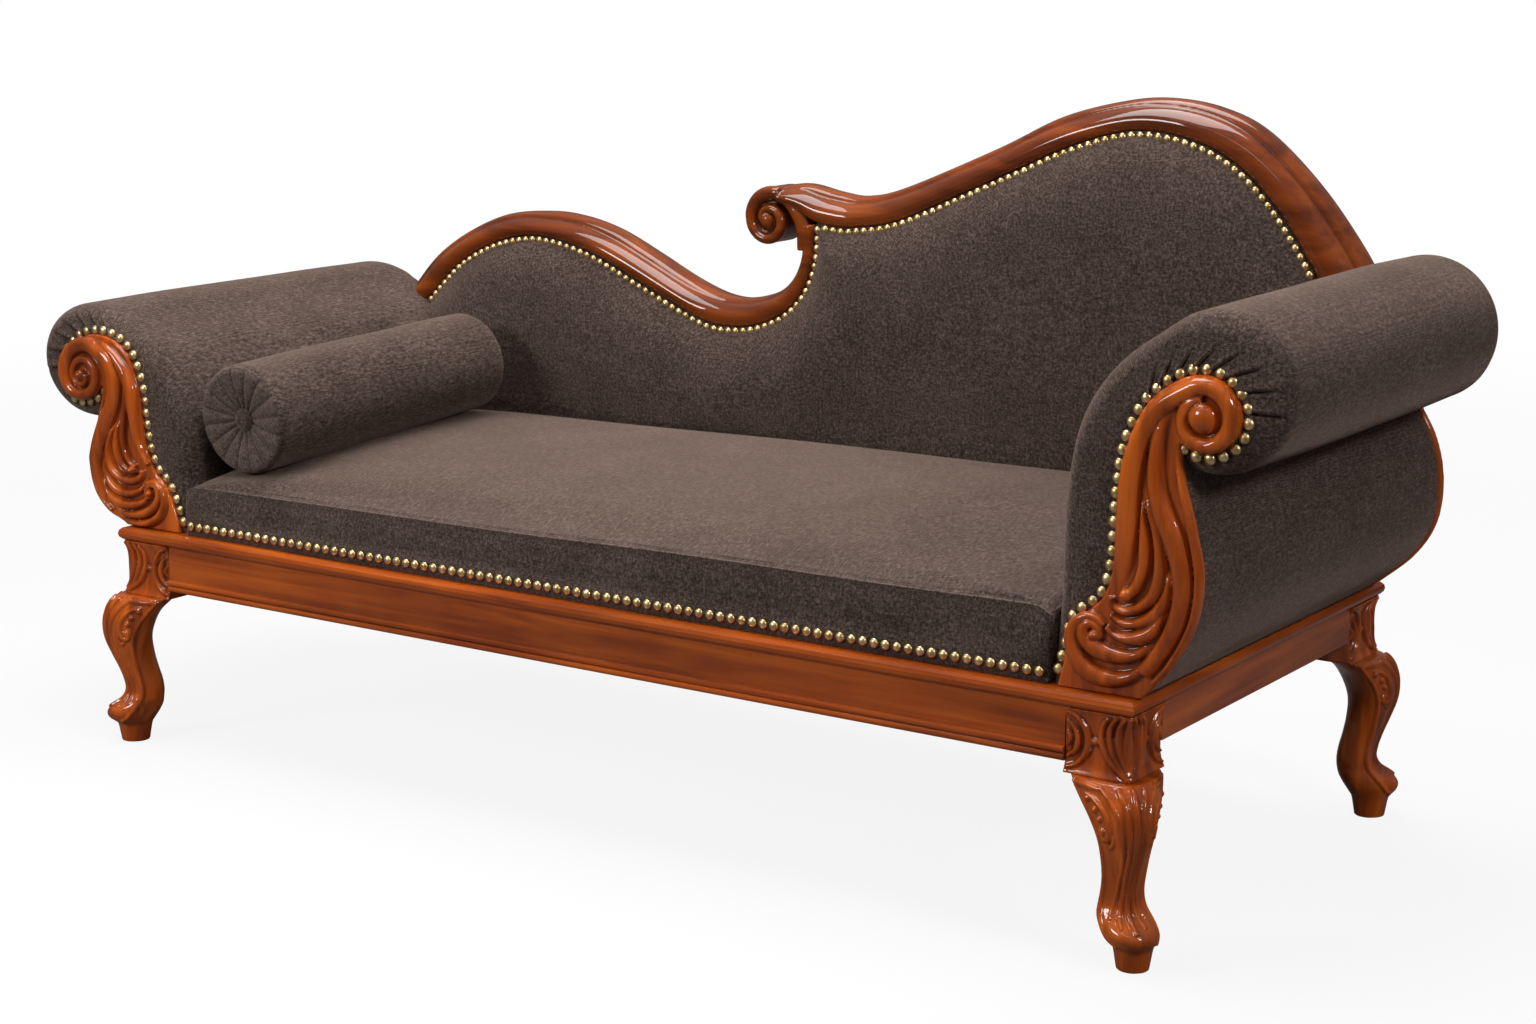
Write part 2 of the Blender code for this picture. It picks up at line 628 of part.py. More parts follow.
def volute_path(eye, start, turns, radius, shrink, steps):
    """Spiral from its outer end in to the eye."""
    path = []
    for step in range(steps + 1):
        share = step / steps
        angle = start - math.tau * turns * share
        reach = radius * (1 - (1 - shrink) * share)
        path.append(eye + reach * Vector((math.cos(angle), math.sin(angle))))
    return path


def facing_strands(arm):
    """Carved relief of a facing: the volute, then each leaf. Each is a path with its radii."""
    eye = arm_point(arm["eye"])
    steps = 30
    volute = volute_path(eye, math.radians(150), FACING_VOLUTE_TURNS, FACING_VOLUTE_RADIUS, 0.38, steps)
    strands = [(volute, [FACING_VOLUTE_RIDGE * (1 - 0.33 * step / steps) for step in range(steps + 1)])]
    for radius, points in FACING_LEAVES:
        path = [arm_point((across, rise * arm["leaf_stretch"])) for across, rise in points]
        path = even_line(smooth_line(path, 6), 3 * len(points))
        last = len(path) - 1
        swell = [math.sin(math.pi * step / last) for step in range(last + 1)]
        strands.append((path, [radius * MM * (0.45 + 0.55 * share) for share in swell]))
    return strands


def build_facing(name, arm):
    outline = facing_line(arm)
    rear = ARM_FRONT_Y - CLEARANCE
    front = rear - FACING_THICKNESS
    core = inset_line(outline, FACING_EDGE)
    core[0].y = SEAT_BASE
    core[-1].y = SEAT_BASE
    sections = ((rear, outline), (front + FACING_EDGE, outline), (front, core))
    rings = [[(arm["side"] * point.x, y, point.y) for point in line] for y, line in sections]
    facing = add_piece(f"{name}_arm_facing", loft(rings), SHOW_WOOD, 40)
    for index, (path, radii) in enumerate(facing_strands(arm)):
        path = [Vector(spot) for spot in mirrored(path, arm)]
        flatness = FACING_RELIEF / max(radii)
        strand = tapered_tube(path, radii, front - index * STRAND_STEP, flatness)
        combine(facing, add_cutter(f"{name}_facing_strand_{index + 1}", strand), "UNION")
    boss = bmesh.new()
    bmesh.ops.create_uvsphere(boss, u_segments=12, v_segments=6, radius=FACING_EYE_RADIUS)
    eye = arm_point(arm["eye"])
    bmesh.ops.translate(boss, verts=boss.verts, vec=(arm["side"] * eye.x, front, eye.y))
    combine(facing, add_cutter(f"{name}_facing_eye", boss), "UNION")


def scroll_middle(arm):
    """Middle of the scroll at the top of a facing, where the hidden roll rail runs."""
    points = arm["facing_inner"]
    outermost = max(range(len(points)), key=lambda index: points[index][0])
    top = max(rise for _, rise in points)
    low = min(rise for _, rise in points[outermost:])
    return arm_point(((points[-1][0] + points[outermost][0]) / 2, (top + low) / 2))


def build_arm(name, arm):
    add_piece(f"{name}_arm_pad", loft(arm_pad_rings(arm)), FABRIC, 50)
    build_facing(name, arm)
    rear_outline = mirrored(facing_line(arm, "rear_outer"), arm)
    rear_face = ARM_REAR_Y + CLEARANCE
    add_piece(f"{name}_arm_rear_facing", prism_y(rear_outline, rear_face, rear_face + REAR_FACING_THICKNESS),
              SHOW_WOOD)
    post = mirrored(post_line(arm, CLEARANCE), arm)
    post_front = ARM_FRONT_Y + CLEARANCE
    post_rear = ARM_REAR_Y - CLEARANCE
    rail_front = post_front + ARM_POST_THICKNESS + CLEARANCE
    rail_rear = post_rear - ARM_POST_THICKNESS - CLEARANCE
    add_piece(f"{name}_arm_front_post", prism_y(post, post_front, post_front + ARM_POST_THICKNESS), FRAME_WOOD)
    add_piece(f"{name}_arm_rear_post", prism_y(post, post_rear - ARM_POST_THICKNESS, post_rear), FRAME_WOOD)
    middle = scroll_middle(arm)
    bar = []
    for step in range(12):
        angle = math.tau * step / 12
        bar.append((arm["side"] * (middle.x + ROLL_RAIL_RADIUS * math.cos(angle)),
                    middle.y + ROLL_RAIL_RADIUS * math.sin(angle)))
    add_piece(f"{name}_arm_roll_rail", prism_y(bar, rail_front, rail_rear), FRAME_WOOD, 40)
    foot = HALF_LENGTH - ARM_POST_FOOT_INSET + CLEARANCE
    edges = sorted((arm["side"] * foot, arm["side"] * (foot + ARM_BASE_WIDTH)))
    base = box((edges[0], rail_front, SEAT_BASE), (edges[1], rail_rear, SEAT_BASE + ARM_BASE_HEIGHT))
    add_piece(f"{name}_arm_base_rail", base, FRAME_WOOD)


# Back: crest rails, hidden frame, pad, outside panel
def crest_point(spot):
    return Vector((spot[0] * HALF_LENGTH, MOULDING_TOP + spot[1] * MM))


def crest_line(points, count):
    return even_line(smooth_line([crest_point(spot) for spot in points], 8), count)


def crest_lines():
    """Lower and upper lines of both crest rails. The low rail ends against the underside of the high one."""
    high_lower = crest_line(HIGH_CREST_LOWER, 30)
    high_upper = crest_line(HIGH_CREST_UPPER, 30)
    ends = []
    for points in (LOW_CREST_LOWER, LOW_CREST_UPPER):
        x = crest_point(points[-1]).x
        ends.append(Vector((x, height_at(high_lower, x) - CLEARANCE)))
    low_lower = crest_line(LOW_CREST_LOWER, 34)
    low_upper = crest_line(LOW_CREST_UPPER, 34)
    low_lower[-1] = ends[0]
    low_upper[-1] = ends[1]
    return low_lower, low_upper, high_lower, high_upper


def crest_shape(lower, upper):
    """Half-round front, a groove and a bead along the top, swept between two lines."""
    front = BACK_FRONT_Y - CREST_FRONT_OVERHANG
    depth = BACK_REAR_Y + CREST_REAR_OVERHANG - front
    profile = (
        (0.00, 0.95), (0.00, 0.13), (0.10, 0.04), (0.30, 0.00), (0.52, 0.03), (0.70, 0.14), (0.78, 0.30),
        (0.86, 0.36), (0.96, 0.42), (1.00, 0.54), (0.96, 0.72), (0.80, 0.94), (0.55, 1.00), (0.15, 1.00),
    )
    rings = []
    for low, high in zip(lower, upper):
        ring = []
        for rise, share in profile:
            spot = low.lerp(high, rise)
            ring.append((spot.x, front + depth * share, spot.y))
        rings.append(ring)
    return loft(rings)


def volute_shape():
    """Solid of the crest's scroll, whose radius shrinks as it winds."""
    eye = crest_point(VOLUTE_EYE)
    outline = []
    for step in range(32):
        share = step / 32
        angle = math.radians(90) + math.tau * share
        reach = VOLUTE_RADIUS * (1.10 - 0.38 * share)
        outline.append((eye.x + reach * math.cos(angle), eye.y + reach * math.sin(angle)))
    front = BACK_FRONT_Y - CREST_FRONT_OVERHANG * 0.7
    rear = BACK_REAR_Y + CREST_REAR_OVERHANG * 0.8
    return prism_y(outline, front, rear), front, eye


def build_crest(cutters):
    low_lower, low_upper, high_lower, high_upper = crest_lines()
    low = add_piece("low_crest_rail", crest_shape(low_lower, low_upper), SHOW_WOOD, 40)
    high = add_piece("high_crest_rail", crest_shape(high_lower, high_upper), SHOW_WOOD, 40)
    scroll, front, eye = volute_shape()
    combine(high, add_cutter("crest_volute", scroll), "UNION")
    steps = 36
    path = volute_path(eye, math.radians(80), -VOLUTE_TURNS, VOLUTE_RADIUS - VOLUTE_RIDGE, 0.36, steps)
    radii = [VOLUTE_RIDGE * (1.0 - 0.45 * step / steps) for step in range(steps + 1)]
    combine(high, add_cutter("crest_volute_ridge", tapered_tube(path, radii, front, 1.0)), "UNION")
    combine(low, cutters["left"], "DIFFERENCE")
    combine(high, cutters["right"], "DIFFERENCE")


def back_top_line():
    """Line just below both crests, left to right, for everything that stands under them."""
    low_lower, _, high_lower, _ = crest_lines()
    low = inset_line(low_lower, CLEARANCE)
    high = inset_line(high_lower, CLEARANCE)
    join = low_lower[-1].x + CLEARANCE
    line = [point for point in low[:-1] if point.x < join - CLEARANCE]
    line.append(Vector((join, height_at(high, join))))
    line += [point for point in high if point.x > join + CLEARANCE]
    return line


def top_stretch(line, left, right):
    """Part of a line between two places, for the top of an upright board."""
    stretch = [Vector((left, height_at(line, left)))]
    stretch += [point for point in line if left < point.x < right]
    stretch.append(Vector((right, height_at(line, right))))
    return stretch


def back_board(name, left, right, bottom, front, rear, look):
    """Board with a level foot whose top follows the crest."""
    outline = [(right, bottom), (left, bottom)]
    outline += [(point.x, point.y) for point in top_stretch(back_top_line(), left, right)]
    return add_piece(name, prism_y(outline, front, rear), look)


def build_back_frame(cutters):
    rail_top = SEAT_BASE + BACK_RAIL_HEIGHT
    rail = box((-SEAT_END_X, BACK_FRONT_Y, SEAT_BASE), (SEAT_END_X, BACK_REAR_Y, rail_top))
    add_piece("back_bottom_rail", rail, FRAME_WOOD)
    stiles = (
        ("back_left_stile", -SEAT_END_X, BACK_STILE_WIDTH - SEAT_END_X),
        ("back_middle_stile", -BACK_STILE_WIDTH / 2, BACK_STILE_WIDTH / 2),
        ("back_right_stile", SEAT_END_X - BACK_STILE_WIDTH, SEAT_END_X),
    )
    for name, left, right in stiles:
        back_board(name, left, right, rail_top + CLEARANCE, BACK_FRONT_Y, BACK_REAR_Y, FRAME_WOOD)
    line = back_top_line()
    front = BACK_REAR_Y + CLEARANCE
    panel = back_board("back_outside_panel", line[0].x, line[-1].x, SEAT_BASE, front,
                       front + BACK_PANEL_THICKNESS, FABRIC)
    combine(panel, cutters["left"], "DIFFERENCE")
    combine(panel, cutters["right"], "DIFFERENCE")


def back_pad_ring(top):
    """Upright section of the back pad: flat rear, rolled top edge, crowned front."""
    rear = BACK_FRONT_Y - CLEARANCE
    edge = BACK_FRONT_Y - BACK_PAD_EDGE
    fold = SEAT_BASE + SEAT_BORDER_HEIGHT + SEAT_RISE + SEAT_CROWN
    ring = [(BACK_PAD_FRONT_Y, SEAT_BASE), (rear, SEAT_BASE), (rear, top.y)]
    for share in (0.0, 0.03, 0.10, 0.22, 0.45, 0.70, 1.0):
        swell = 1 - (1 - min(share / 0.4, 1.0)) ** 3
        y = edge - (edge - BACK_PAD_FRONT_Y) * swell - BACK_PAD_CROWN * math.sin(math.pi * share)
        ring.append((y, top.y - (top.y - fold) * share))
    return [(top.x, y, z) for y, z in ring]


def build_back_pad(cutters):
    pad = add_piece("back_pad", loft([back_pad_ring(point) for point in back_top_line()]), FABRIC, 60)
    combine(pad, cutters["left"], "DIFFERENCE")
    combine(pad, cutters["right"], "DIFFERENCE")


# Bolster: lies on the seat against the low arm
def between(knots, value):
    """Knots on both sides of a value, and its share of the way."""
    for low, high in zip(knots, knots[1:]):
        if value <= high:
            break
    return low, high, (value - low) / (high - low)


def seat_height(x, y):
    """Height of the seat pad's faceted surface."""
    left, right, across = between(SEAT_SHARES, (x + SEAT_END_X) / (2 * SEAT_END_X))
    front, rear, back = between(SEAT_STEPS, (y - SEAT_FRONT_Y) / (SEAT_REAR_Y - SEAT_FRONT_Y))
    near = seat_top(left, front) + (seat_top(right, front) - seat_top(left, front)) * across
    far = seat_top(left, rear) + (seat_top(right, rear) - seat_top(left, rear)) * across
    return near + (far - near) * back


def bolster_place():
    """Middle of the bolster and its tilt, so that it lies on the crowned seat without sinking in."""
    x = BOLSTER_RADIUS + BOLSTER_PIPING + CLEARANCE - ARM_WALL_X
    middle = -BOLSTER_FORWARD
    front = middle - BOLSTER_LENGTH / 2
    rear = middle + BOLSTER_LENGTH / 2
    slope = (seat_height(x, rear) - seat_height(x, front)) / BOLSTER_LENGTH
    height = 0.0
    for step in range(41):
        y = front + BOLSTER_LENGTH * step / 40
        radius = BOLSTER_RADIUS + BOLSTER_PIPING if step in (0, 40) else BOLSTER_RADIUS
        for aside in (-0.3, -0.15, 0.0, 0.15, 0.3):
            drop = radius * math.sqrt(1 - aside ** 2) * math.sqrt(1 + slope ** 2)
            height = max(height, seat_height(x + aside * radius, y) + drop - slope * (y - middle))
    return Vector((x, middle, height + CLEARANCE)), math.atan(slope)


def bolster_rings():
    """Rings along the bolster's own Y axis: pleated dished ends, a piped edge and a slightly full body."""
    half = BOLSTER_LENGTH / 2
    seat = BUTTON_RADIUS + 0.002
    edge = BOLSTER_RADIUS - 2 * BOLSTER_PIPING
    end = [(seat, half - BOLSTER_DISH, 0.0), (0.5 * (seat + edge), half - 0.35 * BOLSTER_DISH, 1.0)]
    end += [(0.2 * seat + 0.8 * edge, half - 0.1 * BOLSTER_DISH, 0.8)]
    end += [(edge, half - 0.15 * BOLSTER_DISH, 0.2)]
    end += [(BOLSTER_RADIUS, half, 0.0), (BOLSTER_RADIUS + BOLSTER_PIPING, half - BOLSTER_PIPING, 0.0)]
    end += [(BOLSTER_RADIUS, half - 2 * BOLSTER_PIPING, 0.0), (BOLSTER_RADIUS, half - 0.08, 0.0)]
    levels = [(radius, -y, -pleat) for radius, y, pleat in end]
    levels += [(radius, y, pleat) for radius, y, pleat in reversed(end)]
    sides = BOLSTER_PLEATS * 3
    rings = []
    for radius, y, pleat in levels:
        ring = []
        for side in range(sides):
            angle = math.tau * side / sides
            fold = pleat * BOLSTER_PLEAT_DEPTH * math.cos(BOLSTER_PLEATS * angle)
            ring.append((radius * math.cos(angle), y + fold, radius * math.sin(angle)))
        rings.append(ring)
    return rings


def button_shape(end):
    """Covered button that sits in the dish of one end."""
    back = BOLSTER_LENGTH / 2 - BOLSTER_DISH + CLEARANCE
    rings = []
    for reach, rise in ((0.75, 0.0), (1.0, 0.3), (0.95, 0.6), (0.7, 0.88), (0.3, 1.0)):
        ring = []
        for side in range(16):
            angle = math.tau * side / 16
            radius = BUTTON_RADIUS * reach
            y = end * (back + BUTTON_THICKNESS * rise)
            ring.append((radius * math.cos(angle), y, radius * math.sin(angle)))
        rings.append(ring)
    return loft(rings)


def build_bolster():
    place, tilt = bolster_place()
    carrier = bpy.data.objects.new("bolster_carrier", None)
    carrier.location = place
    carrier.rotation_euler.x = tilt
    bpy.context.collection.objects.link(carrier)
    pieces = [add_piece("bolster_pad", loft(bolster_rings()), FABRIC, 50)]
    pieces.append(add_piece("bolster_button_front", button_shape(-1), FABRIC, 50))
    pieces.append(add_piece("bolster_button_rear", button_shape(1), FABRIC, 50))
    for piece in pieces:
        piece.parent = carrier


def main():
    for item in list(bpy.data.objects):
        bpy.data.objects.remove(item)
    build_corners()
    build_rails()
    build_moulding()
    build_dust_cover()
    build_webbing()
    build_seat_pad()
    cutters = {}
    for name, arm in ARMS.items():
        build_arm(name, arm)
        cutters[name] = arm_cutter(name, arm)
    build_crest(cutters)
    build_back_frame(cutters)
    build_back_pad(cutters)
    build_bolster()
    for item in bpy.data.objects:
        if item.parent is None:
            item.location.x += SEAT_MIDDLE_X


main()
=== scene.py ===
import math

import bmesh
import bpy
import numpy as np
from mathutils import Matrix, Vector


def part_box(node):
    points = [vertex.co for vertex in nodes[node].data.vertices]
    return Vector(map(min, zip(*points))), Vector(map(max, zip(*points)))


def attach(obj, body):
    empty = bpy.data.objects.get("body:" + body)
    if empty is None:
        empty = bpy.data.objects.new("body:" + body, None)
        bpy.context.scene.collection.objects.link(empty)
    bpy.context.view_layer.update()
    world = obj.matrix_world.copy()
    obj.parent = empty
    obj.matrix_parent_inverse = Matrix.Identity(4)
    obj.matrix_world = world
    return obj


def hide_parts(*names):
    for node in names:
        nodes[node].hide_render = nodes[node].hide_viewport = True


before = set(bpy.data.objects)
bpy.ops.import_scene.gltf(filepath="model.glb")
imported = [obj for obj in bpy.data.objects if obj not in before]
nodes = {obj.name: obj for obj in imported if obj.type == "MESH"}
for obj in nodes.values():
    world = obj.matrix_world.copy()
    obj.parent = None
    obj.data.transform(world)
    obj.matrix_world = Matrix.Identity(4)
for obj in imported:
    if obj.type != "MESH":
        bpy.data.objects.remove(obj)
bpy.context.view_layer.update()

# The looks of an upholstered sofa with one high end, in metres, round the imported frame.
scene = bpy.context.scene
# pieces are made round the seat's middle, which lies beside the frame's origin
seatMiddle = sum(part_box("front_moulding"), Vector()).x / 2


# Shader helpers
class Wire:
    # an output socket that sums can be written with
    def __init__(self, look, socket):
        self.look = look
        self.socket = socket

    def math(self, operation, first, second):
        return self.look.node("ShaderNodeMath", {"operation": operation}, {0: first, 1: second})

    def __add__(self, other):
        return self.math("ADD", self, other)

    def __radd__(self, other):
        return self.math("ADD", other, self)

    def __rsub__(self, other):
        return self.math("SUBTRACT", other, self)

    def __mul__(self, other):
        return self.math("MULTIPLY", self, other)

    def __truediv__(self, other):
        return self.math("DIVIDE", self, other)

    def sine(self):
        return self.look.node("ShaderNodeMath", {"operation": "SINE"}, {0: self})

    def above(self, low, high):
        # 0 below low, 1 above high, eased between them
        sockets = {"Value": self, "From Min": low, "From Max": high, "To Min": 0.0, "To Max": 1.0}
        return self.look.node("ShaderNodeMapRange", {"interpolation_type": "SMOOTHSTEP"}, sockets)


class Look:
    # one material and the making of its nodes
    def __init__(self, name):
        self.material = bpy.data.materials.new(name)
        self.material.use_nodes = True
        self.tree = self.material.node_tree
        self.shader = self.tree.nodes["Principled BSDF"]

    def feed(self, socket, value):
        if isinstance(value, Wire):
            self.tree.links.new(value.socket, socket)
        else:
            socket.default_value = value

    def node(self, kind, settings=None, sockets=None, out=0):
        made = self.tree.nodes.new(kind)
        for key, value in (settings or {}).items():
            setattr(made, key, value)
        for key, value in (sockets or {}).items():
            self.feed(made.inputs[key], value)
        return Wire(self, made.outputs[out])

    def surface(self, values):
        for key, value in values.items():
            self.feed(self.shader.inputs[key], value)
        return self.material

    def place(self, scale=(1.0, 1.0, 1.0)):
        # the piece's own coordinates in metres, times a scale for each axis
        spot = self.node("ShaderNodeTexCoord", out="Object")
        return self.node("ShaderNodeVectorMath", {"operation": "MULTIPLY"}, {0: spot, 1: scale})

    def noise(self, spot, scale, detail=2.0, roughness=0.5, distortion=0.0):
        sockets = {"Vector": spot, "Scale": scale, "Detail": detail, "Roughness": roughness}
        sockets["Distortion"] = distortion
        return self.node("ShaderNodeTexNoise", {}, sockets)

    def mix(self, factor, first, second):
        return self.node("ShaderNodeMix", {"data_type": "RGBA"}, {0: factor, 6: first, 7: second}, out=2)

    def attribute(self, name):
        return self.node("ShaderNodeAttribute", {"attribute_name": name}, out="Fac")

    def bump(self, height, strength, distance):
        sockets = {"Height": height, "Strength": strength, "Distance": distance}
        return self.node("ShaderNodeBump", {}, sockets)


# Materials
woodSettings = {
    "dark": (0.195, 0.0300, 0.0026, 1.0),
    "middle": (0.505, 0.0900, 0.0056, 1.0),
    "light": (0.690, 0.1640, 0.0140, 1.0),
    # the next colour is painted shade for grooves and hollows
    "grooveShade": (0.020, 0.0040, 0.0012, 1.0),
    # the next colour is a painted highlight for edges, with some edge wear
    "wornAndLit": (0.740, 0.1850, 0.0190, 1.0),
    "along": 2.2,        # grain features for each metre along the grain
    "across": 34.0,
    "pores": 260.0,
    "roughness": 0.34,
    "coat": 0.92,
}


def woodLook(name, grain, settings, paintedBrightness=1.0):
    # varnished wood, with its grain along one axis, painted shade in its hollows and a painted highlight
    # with some wear on its edges
    look = Look(name)
    tones = ("dark", "middle", "light", "wornAndLit", "grooveShade")
    # the brightness factor scales every colour: above 1 it paints light over the whole copy, below 1 it
    # paints shade
    shaded = [tuple(part * paintedBrightness for part in settings[tone][:3]) + (1.0,) for tone in tones]
    dark, middle, light, wornAndLit, grooveShade = shaded
    stretch = [settings["across"]] * 3
    stretch[grain] = settings["along"]
    fine = [settings["pores"]] * 3
    fine[grain] = settings["along"] * 5
    figure = look.noise(look.place(stretch), 1.0, 5.0, 0.55, 0.6)
    streaks = look.noise(look.place(fine), 1.0, 3.0, 0.6)
    clouds = look.noise(look.place(), 6.0, 2.0)
    hollow = look.attribute("hollow")
    colour = look.mix(figure.above(0.28, 0.66), dark, middle)
    colour = look.mix(figure.above(0.50, 0.82) * 0.55, colour, light)
    colour = look.mix(streaks.above(0.52, 0.78) * 0.32, colour, dark)
    colour = look.mix(clouds.above(0.42, 0.75) * 0.22, colour, light)
    # painted highlight on convex edges, with some edge wear
    colour = look.mix((hollow * -1.0).above(0.15, 1.0) * 0.30, colour, wornAndLit)
    # painted shade in grooves and hollows
    colour = look.mix(hollow.above(0.08, 0.85) * 0.90, colour, grooveShade)
    rough = settings["roughness"] + streaks * 0.10 + hollow.above(0.1, 1.0) * 0.20
    height = streaks * 0.7 + figure * 0.3
    return look.surface({
        "Base Color": colour,
        "Roughness": rough,
        "Coat Weight": settings["coat"] - hollow.above(0.2, 1.0) * 0.45,
        "Coat Roughness": 0.045,
        "Coat IOR": 1.5,
        "Specular IOR Level": 0.05,
        "Normal": look.bump(height, 0.06, 0.0005),
    })


fabricSettings = {
    "dark": (0.0250, 0.0169, 0.0134, 1.0),
    "middle": (0.0730, 0.0507, 0.0409, 1.0),
    "light": (0.2050, 0.1470, 0.1225, 1.0),
    "thread": 0.0021,    # distance between threads
    # the next colour is painted shade for creases
    "creaseShade": (0.0130, 0.0092, 0.0076, 1.0),
    # the next colour is painted light, laid on in a rubbed-looking grit
    "paintedLight": (0.1900, 0.1370, 0.1150, 1.0),
}


def fabricLook(name, settings):
    # plain weave with slubs and a soft nap, with painted shade in creases and painted light on rounded
    # edges and where it is asked for
    look = Look(name)
    spot = look.place()
    wander = look.noise(spot, 55.0, 2.0)
    pitch = math.tau / settings["thread"]
    axes = [look.node("ShaderNodeSeparateXYZ", {}, {0: spot}, out=axis) for axis in range(3)]
    waves = [(axis * pitch + wander * 5.0).sine() for axis in axes]
    weave = waves[0] * waves[2] + waves[0] * waves[1] + waves[1] * waves[2]
    weave = weave * 0.28 + 0.5
    stretches = ((38.0, 420.0, 420.0), (420.0, 420.0, 38.0), (420.0, 38.0, 420.0))
    slubs = [look.noise(look.place(stretch), 1.0, 2.0) for stretch in stretches]
    slub = (slubs[0] + slubs[1] + slubs[2]) / 3.0
    fuzz = look.noise(spot, 640.0, 3.0, 0.7)
    nubs = look.noise(look.place((290.0, 125.0, 290.0)), 1.0, 3.0, 0.62, 0.3)
    cloud = look.noise(spot, 9.0, 3.0)
    creaseShade = look.attribute("hollow")
    tone = nubs * 0.72 + slub * 0.40 + fuzz * 0.22 + weave * 0.12 + cloud * 0.14
    colour = look.mix(tone.above(0.62, 0.84), settings["dark"], settings["middle"])
    colour = look.mix(tone.above(0.78, 1.02) * 0.85, colour, settings["light"])
    # painted light in a rubbed-looking grit, where the value is below zero
    grit = look.noise(look.place((280.0, 42.0, 280.0)), 1.0, 2.0, 0.55)
    wornAndLit = look.mix(grit.above(0.36, 0.56), settings["middle"], settings["paintedLight"])
    colour = look.mix((creaseShade * -1.0).above(0.10, 1.0), colour, wornAndLit)
    # painted shade in creases
    colour = look.mix(creaseShade.above(0.08, 1.0) * 0.75, colour, settings["creaseShade"])
    height = weave * 0.25 + fuzz * 0.30 + slub * 0.4 + nubs * 0.6
    return look.surface({
        "Base Color": colour,
        "Roughness": 0.86 + fuzz * 0.12,
        "Specular IOR Level": 0.06,
        "Sheen Weight": 0.48,
        "Sheen Roughness": 0.40,
        "Sheen Tint": (0.70, 0.50, 0.41, 1.0),
        "Normal": look.bump(height, 0.90, 0.0015),
    })


def brassLook(name):
    # antique brass with an uneven patina
    look = Look(name)
    spot = look.place()
    patina = look.noise(spot, 130.0, 3.0)
    specks = look.noise(spot, 900.0, 2.0)
    colour = look.mix(patina.above(0.35, 0.70), (0.66, 0.450, 0.190, 1.0), (1.00, 0.790, 0.440, 1.0))
    return look.surface({
        "Base Color": colour,
        "Metallic": 1.0,
        "Roughness": 0.30 + specks * 0.10 + patina * 0.06,
        "Normal": look.bump(specks, 0.08, 0.0004),
    })


def bareWoodLook(name, grain):
    # sawn hardwood that is not varnished
    look = Look(name)
    stretch = [30.0] * 3
    stretch[grain] = 2.0
    saw = [8.0] * 3
    saw[grain] = 420.0
    figure = look.noise(look.place(stretch), 1.0, 5.0, 0.6, 0.5)
    marks = look.noise(look.place(saw), 1.0, 2.0)
    colour = look.mix(figure.above(0.3, 0.72), (0.300, 0.178, 0.085, 1.0), (0.500, 0.335, 0.185, 1.0))
    colour = look.mix(marks.above(0.55, 0.8) * 0.25, colour, (0.240, 0.140, 0.065, 1.0))
    return look.surface({
        "Base Color": colour,
        "Roughness": 0.62 + marks * 0.16,
        "Normal": look.bump(marks * 0.6 + figure * 0.4, 0.25, 0.0010),
    })


def clothLook(name, dark, light, thread):
    # a coarse open cloth, for the webbing and the lining below
    look = Look(name)
    spot = look.place()
    pitch = math.tau / thread
    axes = [look.node("ShaderNodeSeparateXYZ", {}, {0: spot}, out=axis) for axis in range(2)]
    weave = (axes[0] * pitch).sine() * (axes[1] * pitch).sine() * 0.5 + 0.5
    fuzz = look.noise(spot, 500.0, 3.0, 0.7)
    colour = look.mix((weave * 0.6 + fuzz * 0.5).above(0.3, 0.85), dark, light)
    return look.surface({
        "Base Color": colour,
        "Roughness": 0.90 + fuzz * 0.08,
        "Normal": look.bump(weave * 0.6 + fuzz * 0.4, 0.5, 0.0009),
    })


woodX = woodLook("showWoodLong", 0, woodSettings)
woodY = woodLook("showWoodEnds", 1, woodSettings)
# the upright pieces get a lighter copy of the wood: painted light
woodZLit = woodLook("showWoodUprightLit", 2, woodSettings, 1.14)
# the crest rails get a darker copy of the wood: painted shade
crestShadedWood = woodLook("showWoodCrestShaded", 0, woodSettings, 0.47)
fabric = fabricLook("coverFabric", fabricSettings)
brass = brassLook("antiqueBrass")
bareX = bareWoodLook("frameWoodLong", 0)
bareY = bareWoodLook("frameWoodEnds", 1)
bareZ = bareWoodLook("frameWoodUpright", 2)
jute = clothLook("jute", (0.200, 0.130, 0.062, 1.0), (0.460, 0.335, 0.190, 1.0), 0.0032)
lining = clothLook("cambric", (0.010, 0.010, 0.010, 1.0), (0.032, 0.031, 0.029, 1.0), 0.0016)
print("materials made")


# CAD nodes that stay get their better materials
keptLooks = {
    woodX: ["front_rail", "rear_rail", "front_bead", "front_moulding", "rear_moulding"],
    woodY: ["left_rail", "right_rail", "left_moulding", "right_moulding"],
    bareX: ["seat_tack_strip", "back_bottom_rail"] + [name for name in nodes if "corner_brace" in name],
    bareY: [name for name in nodes if "roll_rail" in name or "base_rail" in name],
    bareZ: [name for name in nodes if "_post" in name or "_stile" in name],
    jute: [name for name in nodes if "seat_strap" in name],
}
for look, names in keptLooks.items():
    for name in names:
        nodes[name].data.materials.clear()
        nodes[name].data.materials.append(look)
print("materials set on the kept nodes")


# Mesh helpers
def addPiece(name, points, faces, look):
    mesh = bpy.data.meshes.new(name)
    mesh.from_pydata([tuple(point) for point in points], [], [tuple(face) for face in faces])
    mesh.validate()
    shape = bmesh.new()
    shape.from_mesh(mesh)
    bmesh.ops.recalc_face_normals(shape, faces=shape.faces)
    shape.to_mesh(mesh)
    shape.free()
    mesh.shade_smooth()
    mesh.materials.append(look)
    piece = bpy.data.objects.new(name, mesh)
    scene.collection.objects.link(piece)
    return piece


